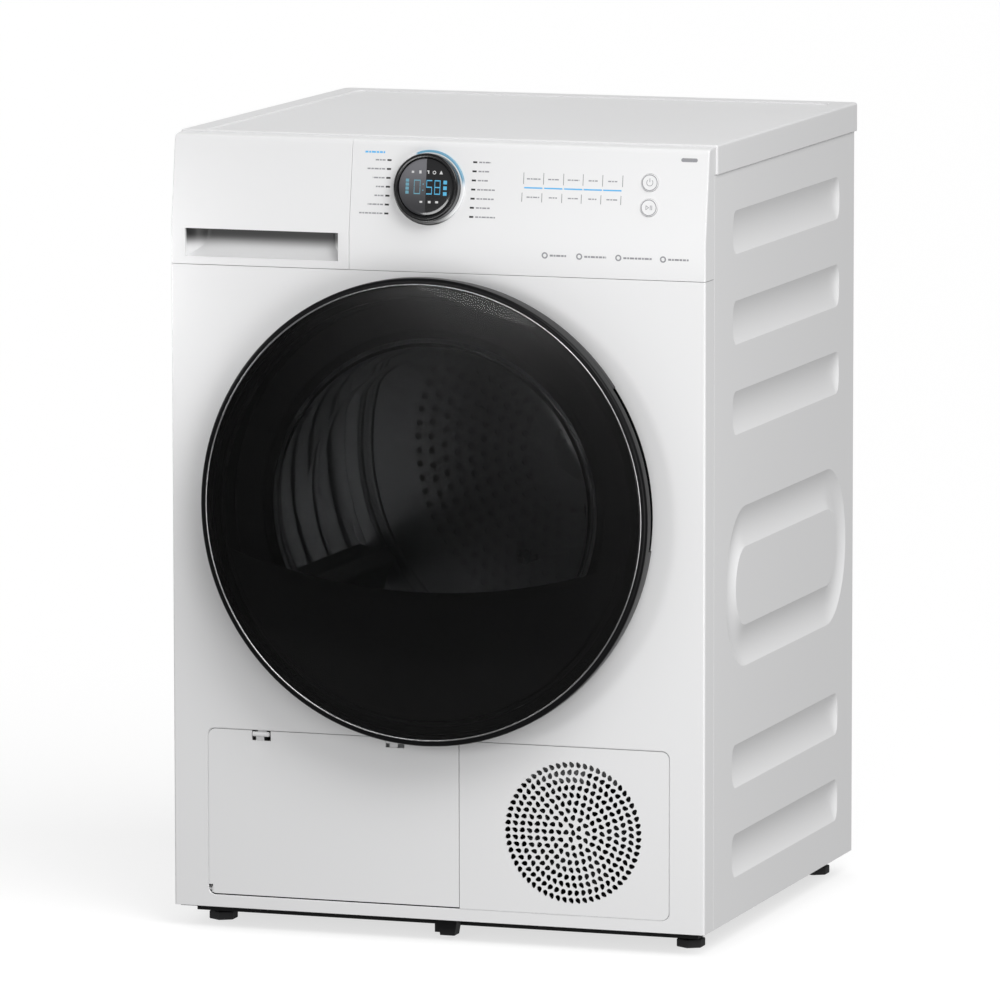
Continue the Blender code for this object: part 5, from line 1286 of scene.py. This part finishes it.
class DRYER_OT_stage(bpy.types.Operator):
    """Lays a plain pale floor and sets soft studio lights and the camera."""
    bl_idname = "dryer.stage"
    bl_label = "Stage"

    def execute(self, context):
        clear_selection()
        bpy.ops.mesh.primitive_plane_add(size=400.0, location=(0, 150, 0))
        floor = named("floor")
        bpy.ops.object.transform_apply(location=True, rotation=False, scale=False)
        floor.data.materials.append(finish("floor", (0.34, 0.34, 0.34), 0.8, grain=60, patch=0.6, shade=0.006,
                                           bump=0.0, Specular_IOR_Level=0.1, Emission_Strength=0.68,
                                           Emission_Color=(1.0, 1.0, 1.0, 1.0)))
        floor.visible_diffuse = floor.visible_glossy = floor.visible_transmission = False
        suns = (("key", (1.35, -0.8, 1.75), 1.84, 50.0), ("fill", (-1.3, 1.0, 0.9), 0.7, 60.0))
        for name, toward, power, spread in suns:
            bpy.ops.object.light_add(type="SUN", location=Vector(toward) * 3)
            lamp = bpy.context.object
            lamp.name = name
            lamp.data.energy = power
            lamp.data.angle = math.radians(spread)
            lamp.rotation_euler = Vector(toward).to_track_quat("Z", "Y").to_euler()
        boxes = (("upper_softbox", (0.8, -1.15, 1.5), (0.2, -0.25, 0.5), 0.7, 4.2),
                 ("lower_softbox", (0.62, -1.3, 0.4), (0.3, 0.0, 0.36), 0.7, 4.2),
                 ("left_softbox", (-0.5, -0.35, 0.7), (-0.28, 0.0, 0.62), 0.2, 0.42),
                 ("glare_softbox", (-0.55, -2.48, 0.82), (0.0, 0.0, 0.6), 0.5, 6.0))
        for name, place, aim, size, power in boxes:
            bpy.ops.object.light_add(type="AREA", location=place)
            lamp = bpy.context.object
            lamp.name = name
            lamp.data.shape = "DISK"
            lamp.data.size = size
            lamp.data.energy = power
            lamp.rotation_euler = (lamp.location - Vector(aim)).to_track_quat("Z", "Y").to_euler()
        # A black flag that only reflections see keeps the glass dark.
        bpy.ops.mesh.primitive_plane_add(size=1.0, location=(-1.0, -2.9, 0.3), rotation=(math.pi / 2, 0, 0),
                                         scale=(2.6, 3.4, 1.0))
        flag = named("flag")
        bpy.ops.object.transform_apply(location=True, rotation=True, scale=True)
        flag.data.materials.append(finish("flag", (0.0, 0.0, 0.0), 0.9, bump=0.0, Specular_IOR_Level=0.0))
        flag.visible_camera = flag.visible_diffuse = flag.visible_shadow = flag.visible_transmission = False
        sky = bpy.data.worlds.new("studio")
        bpy.context.scene.world = sky
        sky.use_nodes = True
        back = sky.node_tree.nodes["Background"]
        back.inputs["Color"].default_value = (1.0, 1.0, 1.0, 1.0)
        back.inputs["Strength"].default_value = 0.35
        bpy.context.scene.view_settings.view_transform = "Standard"
        down, roll, round_right = 7.741, 0.074, 18.614
        bpy.ops.object.camera_add(location=(0, 0, 0),
                                  rotation=[math.radians(a) for a in (90 - down, roll, round_right)])
        camera = bpy.context.object
        camera.name = "camera"
        camera.location = Vector((3.0681, -9.1507, 1.7523)) * (sizes().camera_distance / 9.651)
        camera.data.lens = 323.66
        camera.data.sensor_width = 36.0
        camera.data.clip_end = 500.0
        bpy.context.scene.camera = camera
        return {"FINISHED"}


class DRYER_PT_panel(bpy.types.Panel):
    """Sidebar panel with the settings and every step."""
    bl_idname = "DRYER_PT_panel"
    bl_label = "Clothes dryer"
    bl_space_type = "VIEW_3D"
    bl_region_type = "UI"
    bl_category = "Dryer"

    def draw(self, context):
        for group in (context.scene.dryer_sizes, context.scene.dryer_colours):
            box = self.layout.box()
            for key in group.bl_rna.properties.keys():
                if key not in ("rna_type", "name"):
                    box.prop(group, key)
        for step in STEPS_IN_ORDER:
            self.layout.operator(step.bl_idname)


STEPS_IN_ORDER = (DRYER_OT_finishes, DRYER_OT_worktop, DRYER_OT_sides, DRYER_OT_front, DRYER_OT_back,
                  DRYER_OT_base, DRYER_OT_fascia, DRYER_OT_drawer, DRYER_OT_dial, DRYER_OT_keys, DRYER_OT_marks,
                  DRYER_OT_door, DRYER_OT_service, DRYER_OT_drum, DRYER_OT_inside, DRYER_OT_stage)
CLASSES = (DryerSizes, DryerColours, *STEPS_IN_ORDER, DRYER_PT_panel)


def register():
    for item in CLASSES:
        bpy.utils.register_class(item)
    bpy.types.Scene.dryer_sizes = bpy.props.PointerProperty(type=DryerSizes)
    bpy.types.Scene.dryer_colours = bpy.props.PointerProperty(type=DryerColours)


def unregister():
    del bpy.types.Scene.dryer_colours
    del bpy.types.Scene.dryer_sizes
    for item in reversed(CLASSES):
        bpy.utils.unregister_class(item)


def main():
    register()
    for step in STEPS_IN_ORDER:
        name = step.bl_idname.partition(".")[2]
        print("step", name, flush=True)
        getattr(bpy.ops.dryer, name)()


if __name__ == "__main__":
    main()
